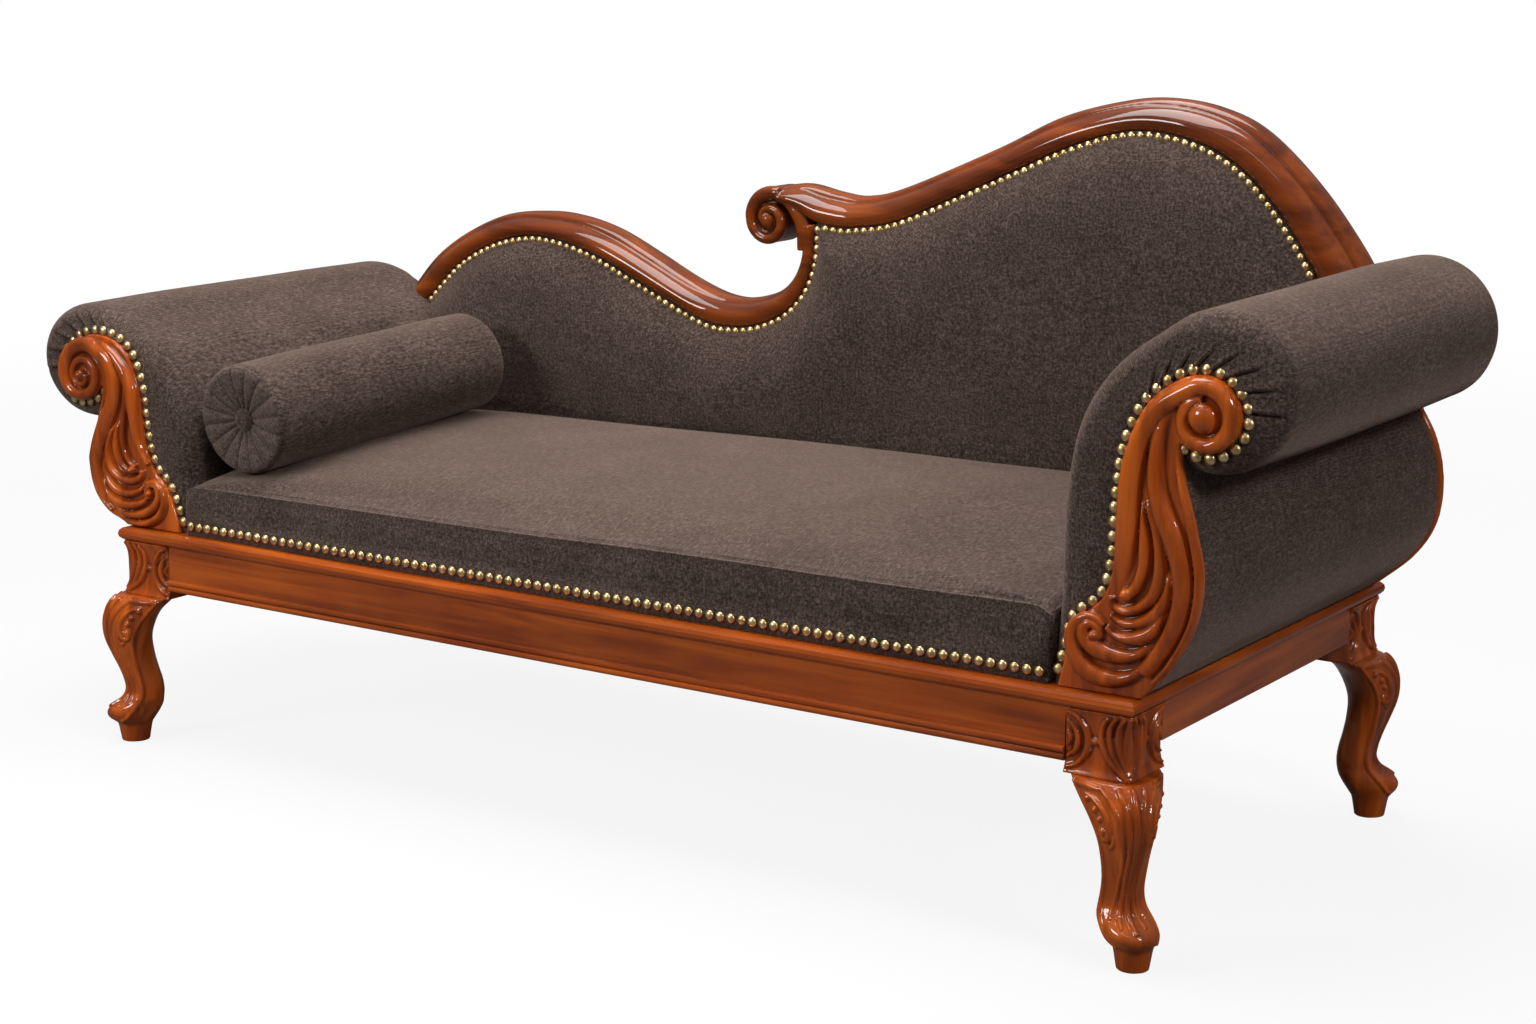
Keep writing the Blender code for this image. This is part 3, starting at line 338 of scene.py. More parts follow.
def finishPiece(piece, body, replaced=()):
    piece.data.transform(Matrix.Translation((seatMiddle, 0.0, 0.0)))
    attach(piece, body)
    if replaced:
        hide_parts(*replaced)
    return piece


def loft(rings):
    # closed skin of rings with equal counts, as points and faces
    rings = np.asarray(rings, float)
    rows, count = rings.shape[:2]
    points = rings.reshape(-1, 3)
    faces = []
    for row in range(rows - 1):
        for side in range(count):
            after = (side + 1) % count
            faces.append((row * count + side, row * count + after,
                          (row + 1) * count + after, (row + 1) * count + side))
    faces.append(tuple(reversed(range(count))))
    faces.append(tuple(range((rows - 1) * count, rows * count)))
    return points, faces


def joined(parts):
    # several points-and-faces pairs as one
    points = []
    faces = []
    for partPoints, partFaces in parts:
        shift = len(points)
        points.extend(tuple(point) for point in partPoints)
        faces.extend(tuple(index + shift for index in face) for face in partFaces)
    return points, faces


def smoothLine(knots, steps):
    # Catmull-Rom curve through the knots
    knots = np.asarray(knots, float)
    knots = np.vstack([2 * knots[0] - knots[1], knots, 2 * knots[-1] - knots[-2]])
    line = []
    for before, start, end, after in zip(knots, knots[1:], knots[2:], knots[3:]):
        for step in range(steps):
            t = step / steps
            bend = 2 * start + (end - before) * t + (2 * before - 5 * start + 4 * end - after) * t ** 2
            line.append((bend + (3 * start - before - 3 * end + after) * t ** 3) / 2)
    line.append(knots[-2])
    return np.array(line)


def lineLengths(line):
    return np.concatenate([[0.0], np.cumsum(np.linalg.norm(np.diff(line, axis=0), axis=1))])


def evenLine(line, count):
    line = np.asarray(line, float)
    lengths = lineLengths(line)
    wanted = np.linspace(0.0, lengths[-1], count)
    return np.stack([np.interp(wanted, lengths, line[:, axis]) for axis in range(line.shape[1])], axis=1)


def directions(line):
    along = np.gradient(np.asarray(line, float), axis=0)
    return along / np.maximum(np.linalg.norm(along, axis=1, keepdims=True), 1e-12)


def shiftLine(line, distance):
    # a flat line moved to its right-hand side
    along = directions(line)
    return line + distance * np.stack([along[:, 1], -along[:, 0]], axis=1)


def ease(value):
    value = np.clip(value, 0.0, 1.0)
    return value * value * (3 - 2 * value)


def strand(path, normals, widths, heights, sides=14):
    # a carved leaf: half round, as wide and as high as told at each point, closed at both ends
    path = np.asarray(path, float)
    along = directions(path)
    normals = np.asarray(normals, float)
    across = np.cross(along, normals)
    across /= np.maximum(np.linalg.norm(across, axis=1, keepdims=True), 1e-12)
    angles = np.linspace(0, math.tau, sides, endpoint=False) + math.pi / sides
    rings = []
    for centre, side, up, width, height in zip(path, across, normals, widths, heights):
        rings.append([centre + side * width * math.cos(a) + up * height * math.sin(a) for a in angles])
    return loft(rings)


def ball(centre, radii, rows=8, sides=14):
    rings = []
    angles = np.linspace(0, math.tau, sides, False)
    for row in range(1, rows):
        tilt = math.pi * row / rows
        rings.append([(centre[0] + radii[0] * math.sin(tilt) * math.cos(a),
                       centre[1] + radii[1] * math.sin(tilt) * math.sin(a),
                       centre[2] - radii[2] * math.cos(tilt)) for a in angles])
    return loft(rings)


def applied(piece):
    # the mesh that its modifiers make, with the modifiers gone
    view = bpy.context.evaluated_depsgraph_get()
    view.update()
    mesh = bpy.data.meshes.new_from_object(piece.evaluated_get(view))
    piece.modifiers.clear()
    old = piece.data
    piece.data = mesh
    bpy.data.meshes.remove(old)
    return piece


def fuse(piece, voxel, rounds):
    # overlapping closed shapes become one skin, then its steps are smoothed away
    remesh = piece.modifiers.new("fuse", "REMESH")
    remesh.mode = "VOXEL"
    remesh.voxel_size = voxel
    remesh.use_smooth_shade = True
    soften = piece.modifiers.new("soften", "SMOOTH")
    soften.factor = 0.5
    soften.iterations = rounds
    look = piece.data.materials[0]
    applied(piece)
    piece.data.materials.clear()
    piece.data.materials.append(look)
    piece.data.shade_smooth()
    return piece


def meshArrays(mesh):
    spots = np.empty(len(mesh.vertices) * 3)
    mesh.vertices.foreach_get("co", spots)
    edges = np.empty(len(mesh.edges) * 2, int)
    mesh.edges.foreach_get("vertices", edges)
    normals = np.empty(len(mesh.vertices) * 3, np.float32)
    mesh.vertex_normals.foreach_get("vector", normals)
    return spots.reshape(-1, 3), edges.reshape(-1, 2), normals.reshape(-1, 3).astype(float)


def spread(values, edges, rounds):
    # each point's value drawn to the mean of its neighbours
    count = np.bincount(edges.ravel(), minlength=len(values)).astype(float)
    count = np.maximum(count, 1.0)
    for _ in range(rounds):
        total = np.zeros_like(values)
        np.add.at(total, edges[:, 0], values[edges[:, 1]])
        np.add.at(total, edges[:, 1], values[edges[:, 0]])
        values = 0.5 * values + 0.5 * (total / (count[:, None] if values.ndim > 1 else count))
    return values


def markHollows(piece, depth, rounds=14, shadedCreases=0.0, paintedLight=0.0):
    # stores how far each point lies below the smoothed form: 1 in a groove or crease,
    # -1 on an edge; marked creases are set high for painted shade, and the painted light share is taken off
    mesh = piece.data
    spots, edges, normals = meshArrays(mesh)
    smooth = spread(spots, edges, rounds)
    value = np.einsum("ij,ij->i", smooth - spots, normals) / depth
    value = np.clip(np.maximum(spread(value, edges, 1), shadedCreases) - paintedLight, -1.0, 1.0)
    layer = mesh.attributes.new("hollow", "FLOAT", "POINT")
    layer.data.foreach_set("value", value.astype(np.float32))
    return piece


def stuff(piece, held, pressure, reach):
    # cloth simulation swells the cover: held points stay, the others move no further than the reach
    before, edges, _ = meshArrays(piece.data)
    group = piece.vertex_groups.new(name="held")
    group.add([int(index) for index in np.flatnonzero(held)], 1.0, "REPLACE")
    cloth = piece.modifiers.new("stuffing", "CLOTH")
    cloth.settings.vertex_group_mass = "held"
    cloth.settings.use_pressure = True
    cloth.settings.uniform_pressure_force = pressure
    cloth.settings.effector_weights.gravity = 0.0
    cloth.collision_settings.use_collision = False
    cloth.point_cache.frame_start = 1
    cloth.point_cache.frame_end = 20
    for moment in range(1, 21):
        scene.frame_set(moment)
    after, _, _ = meshArrays(piece.evaluated_get(bpy.context.evaluated_depsgraph_get()).data)
    piece.modifiers.clear()
    piece.vertex_groups.clear()
    scene.frame_set(1)
    move = after - before
    size = np.linalg.norm(move, axis=1, keepdims=True)
    move *= reach * np.tanh(size / reach) / np.maximum(size, 1e-9)
    move = spread(move, edges, 6)
    move[held] = 0.0
    piece.data.vertices.foreach_set("co", (before + move).ravel())
    piece.data.update()
    print(f"{piece.name} stuffed, moved {1000 * np.linalg.norm(move, axis=1).max():.1f} mm at most")
    return piece


# Floor, light and camera
stageSettings = {
    "floor": (0.75, 0.75, 0.75, 1.0),
    "floorBelow": (0.14, 0.14, 0.14, 1.0),    # what the floor sends back to the object
    "whiteNear": 0.88,    # share of plain white in the floor that the camera sees
    "whiteFar": 1.0,
    "horizon": 0.05,
    "zenith": 0.35,
    "shine": 0.05,        # share of white that shiny surfaces see
    "lamps": (
        ("topLamp", (-0.2, 0.10, 3.0), (0.0, 0.0, 0.4), (2.6, 1.8), 96.0),
        ("frontLamp", (-1.5, -3.0, 1.9), (0.0, 0.0, 0.5), (1.2, 0.7), 47.0),
        ("stripLamp", (0.5, -2.2, 3.1), (0.0, 0.0, 0.5), (2.8, 0.06), 4.0),
        ("sideLamp", (3.1, -0.9, 2.1), (0.4, 0.0, 0.4), (0.50, 0.50), 27.0),
    ),
}


def makeFloor():
    look = Look("paleFloor")
    settings = stageSettings
    camera = look.node("ShaderNodeLightPath", out="Is Camera Ray")
    away = look.node("ShaderNodeVectorMath", {"operation": "LENGTH"}, {0: look.place()}, out="Value")
    share = settings["whiteNear"] + away.above(1.6, 5.0) * (settings["whiteFar"] - settings["whiteNear"])
    colour = look.mix(camera, settings["floorBelow"], settings["floor"])
    look.surface({"Base Color": colour, "Roughness": 0.9, "Specular IOR Level": 0.05})
    white = look.node("ShaderNodeEmission", {}, {"Color": (1.0, 1.0, 1.0, 1.0), "Strength": 1.0})
    plain = Wire(look, look.shader.outputs[0])
    seen = look.node("ShaderNodeMixShader", {}, {0: camera * share, 1: plain, 2: white})
    look.feed(look.tree.nodes["Material Output"].inputs["Surface"], seen)
    corners = [(-30, -30, 0), (30, -30, 0), (30, 30, 0), (-30, 30, 0)]
    return addPiece("floor", corners, [(0, 1, 2, 3)], look.material)


def makeWorld():
    # brighter overhead than at the sides, and white where the camera looks past the floor
    world = bpy.data.worlds.new("studio")
    scene.world = world
    world.use_nodes = True
    settings = stageSettings
    tree = world.node_tree
    spot = tree.nodes.new("ShaderNodeTexCoord")
    axes = tree.nodes.new("ShaderNodeSeparateXYZ")
    rise = tree.nodes.new("ShaderNodeMapRange")
    rise.interpolation_type = "SMOOTHSTEP"
    for key, value in (("From Min", 0.0), ("From Max", 1.0), ("To Min", settings["horizon"]),
                       ("To Max", settings["zenith"])):
        rise.inputs[key].default_value = value
    rays = tree.nodes.new("ShaderNodeLightPath")
    shine = tree.nodes.new("ShaderNodeMath")
    shine.operation = "MULTIPLY_ADD"
    shine.inputs[1].default_value = settings["shine"]
    choice = tree.nodes.new("ShaderNodeMix")
    choice.data_type = "FLOAT"
    choice.inputs[3].default_value = 1.0
    tree.links.new(spot.outputs["Generated"], axes.inputs[0])
    tree.links.new(axes.outputs["Z"], rise.inputs["Value"])
    tree.links.new(rays.outputs["Is Glossy Ray"], shine.inputs[0])
    tree.links.new(rays.outputs["Is Camera Ray"], shine.inputs[2])
    tree.links.new(shine.outputs[0], choice.inputs[0])
    tree.links.new(rise.outputs["Result"], choice.inputs[2])
    background = tree.nodes["Background"]
    background.inputs["Color"].default_value = (1.0, 1.0, 1.0, 1.0)
    tree.links.new(choice.outputs[0], background.inputs["Strength"])


def makeStage():
    makeFloor()
    makeWorld()
    for name, spot, aim, size, power in stageSettings["lamps"]:
        lamp = bpy.data.lights.new(name, "AREA")
        lamp.shape = "RECTANGLE"
        lamp.size = size[0]
        lamp.size_y = size[1]
        lamp.energy = power
        holder = bpy.data.objects.new(name, lamp)
        holder.location = spot
        holder.rotation_euler = (Vector(aim) - Vector(spot)).to_track_quat("-Z", "Y").to_euler()
        scene.collection.objects.link(holder)


cameraSettings = {
    "lens": 67.446,
    "sensor": 36.0,
    "place": (2.2789, -3.2399, 1.2345),    # from the seat's middle
    "right": (0.8261, 0.5635, 0.0016),
    "up": (-0.1194, 0.1723, 0.9778),
    "forward": (-0.5507, 0.8079, -0.2097),
}


def makeCamera():
    settings = cameraSettings
    lens = bpy.data.cameras.new("camera")
    lens.sensor_width = settings["sensor"]
    lens.lens = settings["lens"]
    lens.dof.use_dof = False
    lens.clip_end = 100.0
    camera = bpy.data.objects.new("camera", lens)
    right, up, forward = (Vector(settings[key]) for key in ("right", "up", "forward"))
    turn = Matrix((right, up, -forward)).transposed().to_4x4()
    x, y, z = settings["place"]
    camera.matrix_world = Matrix.Translation((x + seatMiddle, y, z)) @ turn
    scene.collection.objects.link(camera)
    scene.camera = camera


makeStage()
makeCamera()
scene.view_settings.view_transform = "Standard"
print("stage made")


# Carved facings of the arms: outlines in mm from the moulding's end and top, right-hand side
mm = 0.001
endX = 0.8325
mouldingTop = 0.3265
standZ = 0.3268
facingRear = -0.3433
armTables = {
    "right": {
        "side": 1,
        "inner": (
            (-112, 0), (-100, 45), (-90, 84), (-71, 98), (-52, 119), (-42, 160), (-38, 240), (-28, 301),
            (-4, 348), (32, 377), (58, 385), (80, 383), (100, 369), (112, 344), (106, 317), (85, 300),
            (66, 296), (51, 299), (38, 306),
        ),
        "outer": ((38, 306), (44, 265), (61, 206), (72, 151), (64, 96), (34, 40), (-2, 0)),
        "eye": (67, 338),
        # the band: place and half width, then angle, reach and half width round the volute's eye
        "band": ((-41, 124, 4), (-33, 140, 9), (-28, 160, 13), (-25, 190, 14.5), (-24, 222, 14.5),
                 (-22, 255, 14.5), (-16, 288, 13.5), (-5, 318, 12), (14, 346, 11.5)),
        "head": ((108, 36, 11.2), (45, 34.5, 10.5), (0, 33.5, 10), (-45, 33, 9.6), (-90, 32, 9),
                 (-135, 29, 8.3), (-180, 25.5, 7.6), (-225, 22.5, 7), (-265, 19.5, 5)),
        # half width at the start, the middle and the end, height, path
        "leaves": (
            (7.0, 14.0, 9.0, 13.0, ((31, 354), (20, 336), (13, 312), (10, 284), (12, 252), (23, 221),
                                    (36, 194), (45, 167), (49, 139), (46, 113), (37, 87), (22, 60),
                                    (2, 34))),
            (2.0, 8.2, 6.5, 11.0, ((-6, 239), (-3, 213), (0, 186), (0, 162), (-5, 144), (-13, 129),
                                   (-22, 123))),
            (2.5, 8.4, 4.5, 11.0, ((-4, 250), (5, 222), (15, 196), (20, 170), (19, 146), (11, 125),
                                   (-5, 110), (-24, 103), (-38, 108), (-41, 117))),
            (2.5, 8.2, 3.5, 10.5, ((28, 163), (31, 142), (26, 120), (13, 102), (-6, 91), (-26, 89),
                                   (-42, 96))),
            (3.0, 9.2, 3.4, 11.0, ((29, 114), (20, 95), (5, 79), (-15, 72), (-36, 73), (-47, 81))),
            (4.5, 11.0, 4.4, 12.0, ((13, 67), (-10, 52), (-34, 49), (-58, 53), (-73, 63), (-76, 75),
                                    (-68, 83),
                                   (-57, 79), (-55, 69), (-63, 65))),
            (5.0, 12.4, 4.0, 12.5, ((10, 45), (-15, 26), (-42, 20), (-69, 26), (-85, 42), (-92, 62),
                                    (-88, 79), (-75, 90), (-60, 90), (-50, 82))),
        ),
        "knobs": ((67, 338, 18.5), (-22, 123, 8.0), (-62, 70, 6.5)),
        "rearOuter": ((38, 306), (44, 265), (73, 212), (86, 158), (81, 98), (52, 48), (-2, 0)),
        "rollCentre": (69.5, 362),
        "rollRadii": (94, 94),
        "rollEnd": -105,
        "wall": ((-122.5, 178), (-119, 240), (-108, 302), (-86, 350), (-48, 394)),
    },
    "left": {
        "side": -1,
        "inner": (
            (-110, 0), (-97, 38), (-82, 68), (-62, 86), (-47, 116), (-40, 162), (-34, 208), (-16, 251),
            (14, 273), (55, 278), (90, 266), (116, 238), (121, 208), (104, 184), (82, 181), (57, 189),
            (39, 204),
        ),
        "outer": ((39, 204), (47, 153), (63, 110), (66, 83), (50, 34), (-1, 0)),
        "eye": (78, 216),
        "band": ((0, 6, 4), (31, 23, 8), (49, 46, 11), (55, 77, 12), (50, 109, 13.5), (34, 145, 14),
                 (15, 178, 14), (8, 212, 14), (20, 242, 13)),
        "head": ((128, 53, 12.5), (98, 46.5, 11.5), (57, 39, 11.5), (17, 36.5, 11.5), (-19, 35.5, 10.5),
                 (-55, 32.5, 9.2), (-96, 28.5, 8.3), (-149, 29, 8), (-185, 31, 8), (-220, 29.5, 7.5),
                 (-258, 24.5, 6.8), (-309, 19.5, 6), (-357, 18, 5.6), (-398, 16.5, 5.2),
                 (-446, 14, 4.8), (-504, 12, 4.4), (-550, 9.5, 4)),
        "leaves": (
            (4.0, 11.0, 4.0, 11.0, ((50, 270), (21, 259), (-5, 236), (-21, 207), (-26, 174),
                                    (-30, 141), (-38, 117), (-52, 96))),
            (2.0, 5.0, 3.6, 10.0, ((-7, 224), (-12, 197), (-10, 168), (-5, 136), (-7, 114), (-17, 96),
                                   (-29, 90))),
            (2.0, 7.6, 5.0, 11.0, ((1, 159), (8, 135), (8, 112), (0, 94), (-14, 84), (-24, 85))),
            (2.0, 8.0, 4.4, 11.0, ((8, 154), (21, 134), (27, 110), (21, 85), (2, 71), (-22, 69),
                                   (-39, 78), (-41, 87))),
            (3.0, 8.0, 4.0, 10.5, ((33, 111), (34, 80), (20, 58), (-3, 49), (-26, 52), (-41, 60))),
            (3.0, 7.8, 4.0, 10.5, ((41, 75), (33, 48), (10, 34), (-16, 32), (-40, 39), (-50, 47))),
            (3.0, 7.0, 3.4, 11.0, ((31, 32), (-1, 19), (-30, 19), (-57, 30), (-72, 46), (-73, 62),
                                   (-60, 67), (-49, 58), (-51, 48), (-59, 50))),
            (3.0, 6.0, 3.2, 11.0, ((17, 16), (-12, 7), (-44, 8), (-71, 21), (-84, 41), (-81, 61),
                                   (-67, 71), (-50, 69))),
        ),
        "knobs": ((78, 216, 9.5), (-24, 86, 6.5), (-57, 54, 5.5)),
        "rearOuter": ((39, 204), (47, 153), (69, 114), (75, 82), (58, 36), (-1, 0)),
        "rollCentre": (88, 232),
        "rollRadii": (98, 84),
        "rollEnd": -112,
        "wall": ((-122.5, 110), (-119, 155), (-106, 195), (-80, 232), (-44, 263)),
    },
}
facingSettings = {
    "ground": 0.0085,      # thickness of the board below the carving
    "edge": 0.0035,
    "voxel": 0.0013,
    "relief": 13.0,        # height of the band that ends in the volute
    "rim": (2.5, 4.6, 2.5, 9.0),
    "rear": (0.3303, 0.3453),    # the plain boards at the rear ends of the arms
    "rearEdge": 0.0048,
    "rearVoxel": 0.0030,
}


def armSpot(spot):
    return np.array((endX + spot[0] * mm, mouldingTop + spot[1] * mm))


def armLine(arm, key, steps=8):
    return smoothLine([armSpot(spot) for spot in arm[key]], steps)


def facingOutline(arm, key="outer"):
    inner = armLine(arm, "inner")
    outer = armLine(arm, key)
    line = np.vstack([inner, outer[1:]])
    line[0, 1] = standZ
    line[-1, 1] = standZ
    return line


def onFacing(arm, line, y):
    return np.stack([arm["side"] * line[:, 0], np.full(len(line), y), line[:, 1]], axis=1)


def threeWidths(count, start, middle, end):
    # a width that swells from its start to the middle and falls to its end
    share = np.linspace(0.0, 1.0, count)
    rising = start + (middle - start) * ease(share * 2)
    falling = middle + (end - middle) * ease(share * 2 - 1)
    return np.where(share < 0.5, rising, falling)


def facingStrand(arm, line, widths, height, y):
    path = onFacing(arm, line, y)
    normals = np.tile((0.0, -1.0, 0.0), (len(path), 1))
    heights = height * mm * np.minimum(1.0, 0.35 + 0.65 * widths / widths.max())
    heights *= 0.06 + 0.94 * ease(np.linspace(0.0, 1.0, len(path)) / 0.16)
    return strand(path, normals, widths * mm, heights, 18)


def edgedBoard(arm, outline, back, face, edge, turns):
    # a board whose edge is rounded towards its face
    core = shiftLine(outline, edge)
    core[[0, -1], 1] = standZ
    depth = math.copysign(edge, back - face)
    board = [onFacing(arm, outline, back), onFacing(arm, outline, face + depth)]
    for turn in turns:
        share = math.radians(turn)
        board.append(onFacing(arm, outline + (core - outline) * (1 - math.cos(share)),
                              face + depth * (1 - math.sin(share))))
    return loft(board)


def makeFacing(name):
    arm = armTables[name]
    settings = facingSettings
    front = facingRear - settings["ground"]
    parts = [edgedBoard(arm, facingOutline(arm), facingRear, front, settings["edge"], (30, 60, 90))]
    eye = armSpot(arm["eye"])
    angles, reach, halves = np.array(arm["head"]).T
    turns = np.linspace(angles[0], angles[-1], 120)
    reach = np.interp(-turns, -angles, reach) * mm
    reach = np.convolve(np.pad(reach, 4, "edge"), np.ones(9) / 9, "valid")
    head = eye + np.stack([reach * np.cos(np.radians(turns)), reach * np.sin(np.radians(turns))], axis=1)
    stem = smoothLine([armSpot(spot) for spot in arm["band"]] + [head[0], head[5]], 8)[:-8]
    share = np.linspace(0, len(arm["band"]), len(stem))
    knotWidths = [spot[2] for spot in arm["band"]] + [halves[0]]
    stemWidths = np.interp(share, range(len(knotWidths)), knotWidths)
    band = np.vstack([stem[:-1], head])
    bandWidths = np.concatenate([stemWidths[:-1], np.interp(-turns, -angles, halves)])
    parts.append(facingStrand(arm, band, bandWidths, settings["relief"], front))
    for start, middle, end, height, path in arm["leaves"]:
        line = evenLine(smoothLine([armSpot(spot) for spot in path], 8), 60)
        parts.append(facingStrand(arm, line, threeWidths(60, start, middle, end), height, front))
    start, middle, end, height = settings["rim"]
    rim = evenLine(shiftLine(armLine(arm, "outer"), 4.4 * mm)[2:-4], 60)
    parts.append(facingStrand(arm, rim, threeWidths(60, start, middle, end), height, front))
    for spot in arm["knobs"]:
        centre = armSpot(spot)
        radius = spot[2] * mm
        parts.append(ball((arm["side"] * centre[0], front, centre[1]), (radius, 14.0 * mm, radius), 12, 28))
    piece = addPiece(f"{name}ArmCarving", *joined(parts), woodZLit)
    fuse(piece, settings["voxel"], 3)
    markHollows(piece, 0.0012, 18)
    return finishPiece(piece, "sofa_frame", [f"{name}_arm_facing"])


def makeRearFacing(name):
    arm = armTables[name]
    settings = facingSettings
    outline = facingOutline(arm, "rearOuter")
    board = edgedBoard(arm, outline, *settings["rear"], settings["rearEdge"], (22, 45, 67, 90))
    piece = addPiece(f"{name}ArmRearBoard", *board, woodZLit)
    fuse(piece, settings["rearVoxel"], 4)
    markHollows(piece, 0.0012, 18)
    return finishPiece(piece, "sofa_frame", [f"{name}_arm_rear_facing"])


for armName in armTables:
    makeFacing(armName)
    makeRearFacing(armName)
print("arm facings carved")


# Cabriole legs: from the floor up, share of the height, reach outward, reach inward, width, widest place
legSettings = {
    "height": 0.2270,
    "foot": (0.8315, 0.3530),
    "swing": 0.0113,
    "swingOver": (0.12, 0.18),       # where the swing starts and how long it takes, as share of the height
    "square": (0.34, 0.20, 0.16),    # how square the outer corner is, where it starts and how long it takes
    "voxel": 0.00115,
    "profile": (
        (0.00, 0.0205, 0.0205, 0.039, 0.000), (0.04, 0.0220, 0.0220, 0.042, 0.000),
        (0.12, 0.0258, 0.0258, 0.0485, 0.000), (0.135, 0.0300, 0.0280, 0.0520, 0.000),
        (0.16, 0.0372, 0.0315, 0.0575, 0.000), (0.19, 0.0402, 0.0358, 0.0632, 0.000),
        (0.22, 0.0378, 0.0395, 0.0642, 0.002), (0.25, 0.0300, 0.0425, 0.0630, 0.005),
        (0.29, 0.0160, 0.0440, 0.0590, 0.010), (0.35, 0.0085, 0.0450, 0.0515, 0.014),
        (0.42, 0.0100, 0.0430, 0.0475, 0.012), (0.50, 0.0160, 0.0380, 0.0485, 0.008),
        (0.60, 0.0260, 0.0330, 0.0545, 0.006), (0.71, 0.0355, 0.0310, 0.0655, 0.006),
        (0.81, 0.0375, 0.0370, 0.0805, 0.014), (0.90, 0.0325, 0.0480, 0.0960, 0.028),
        (0.96, 0.0240, 0.0620, 0.1050, 0.040), (1.00, 0.0120, 0.0710, 0.1100, 0.048),
    ),
    # carving on both faces: half widths at start, middle and end, height, all in mm, then share and angle
    "stem": (
        (3.6, 3.2, 3.4, 4.4, ((0.985, 0), (0.90, 0), (0.78, 0), (0.62, 0), (0.46, 0), (0.33, 0),
                              (0.23, 0))),
        (3.4, 3.0, 2.4, 4.0, ((0.985, 24), (0.90, 19), (0.78, 17), (0.62, 17), (0.46, 19), (0.34, 23),
                              (0.25, 30))),
        (3.2, 2.8, 1.8, 3.4, ((0.985, 44), (0.92, 37), (0.84, 32), (0.72, 30), (0.58, 31), (0.46, 35),
                              (0.36, 41), (0.28, 49))),
    ),
    "edge": (2.8, 3.8, 3.0, 4.0, ((0.985, 84), (0.90, 84), (0.80, 83), (0.68, 83), (0.55, 84),
                                  (0.42, 86), (0.30, 86), (0.22, 82), (0.175, 72), (0.150, 56))),
    "scroll": (
        (2.6, 3.4, 2.6, 3.4, ((0.972, 84), (0.975, 70), (0.975, 56), (0.972, 42))),
        (2.0, 4.6, 2.8, 4.6, ((0.938, 68), (0.918, 58), (0.878, 51), (0.832, 49), (0.786, 50),
                              (0.746, 54), (0.722, 60), (0.722, 68), (0.748, 71), (0.768, 66),
                              (0.760, 60))),
        (1.6, 3.0, 1.4, 3.6, ((0.748, 46), (0.715, 48), (0.688, 52), (0.668, 58))),
    ),
    "beads": ((0.915, 68, 4.2), (0.868, 63, 4.4), (0.822, 62, 4.2), (0.752, 64, 3.2), (0.690, 60, 2.8)),
}


def makeLegSurface(swing):
    settings = legSettings
    table = np.array(settings["profile"])

    def column(share, index):
        # a smooth curve through the profile's values
        spot = np.searchsorted(table[:, 0], share, side="right") - 1
        spot = int(np.clip(spot, 0, len(table) - 2))
        left = table[spot]
        right = table[spot + 1]
        before = table[max(spot - 1, 0)]
        after = table[min(spot + 2, len(table) - 1)]
        span = right[0] - left[0]
        t = (share - left[0]) / span
        slopeLeft = (right[index] - before[index]) / max(right[0] - before[0], 1e-9) * span
        slopeRight = (after[index] - left[index]) / max(after[0] - left[0], 1e-9) * span
        return ((2 * t ** 3 - 3 * t ** 2 + 1) * left[index] + (t ** 3 - 2 * t ** 2 + t) * slopeLeft
                + (3 * t ** 2 - 2 * t ** 3) * right[index] + (t ** 3 - t ** 2) * slopeRight)

    def spot(share, degrees):
        angle = math.radians(degrees)
        outward, inward, width, widest = (column(share, index) for index in (1, 2, 3, 4))
        swingStart, swingSpan = settings["swingOver"]
        turn = min(max((share - swingStart) / swingSpan, 0.0), 1.0)
        reach = outward + widest if math.cos(angle) > 0 else inward - widest
        # round at the foot, and above it nearly square with a corner to the outside
        square, squareStart, squareSpan = settings["square"]
        power = 1.0 + square * float(ease((share - squareStart) / squareSpan)) * (math.cos(angle) > 0)
        x = reach * math.copysign(abs(math.cos(angle)) ** power, math.cos(angle)) - widest
        y = width / 2 * math.copysign(abs(math.sin(angle)) ** power, math.sin(angle))
        return np.array((x, swing * turn + y, share * settings["height"]))

    return spot


def surfaceNormal(surface, share, degrees):
    up = surface(min(share + 0.01, 1.0), degrees) - surface(max(share - 0.01, 0.0), degrees)
    aside = surface(share, degrees + 3) - surface(share, degrees - 3)
    normal = np.cross(aside, up)
    return normal / np.linalg.norm(normal)


def surfaceStrand(surface, spots, start, middle, end, height, side, count=46):
    line = evenLine(smoothLine([(share, angle * side / 100.0) for share, angle in spots], 8), count)
    path = np.array([surface(share, angle * 100.0) for share, angle in line])
    normals = np.array([surfaceNormal(surface, share, angle * 100.0) for share, angle in line])
    widths = threeWidths(count, start, middle, end)
    heights = height * np.minimum(1.0, 0.4 + 0.6 * widths / widths.max())
    return strand(path - normals * 0.0006, normals, widths * mm, heights * mm, 14)


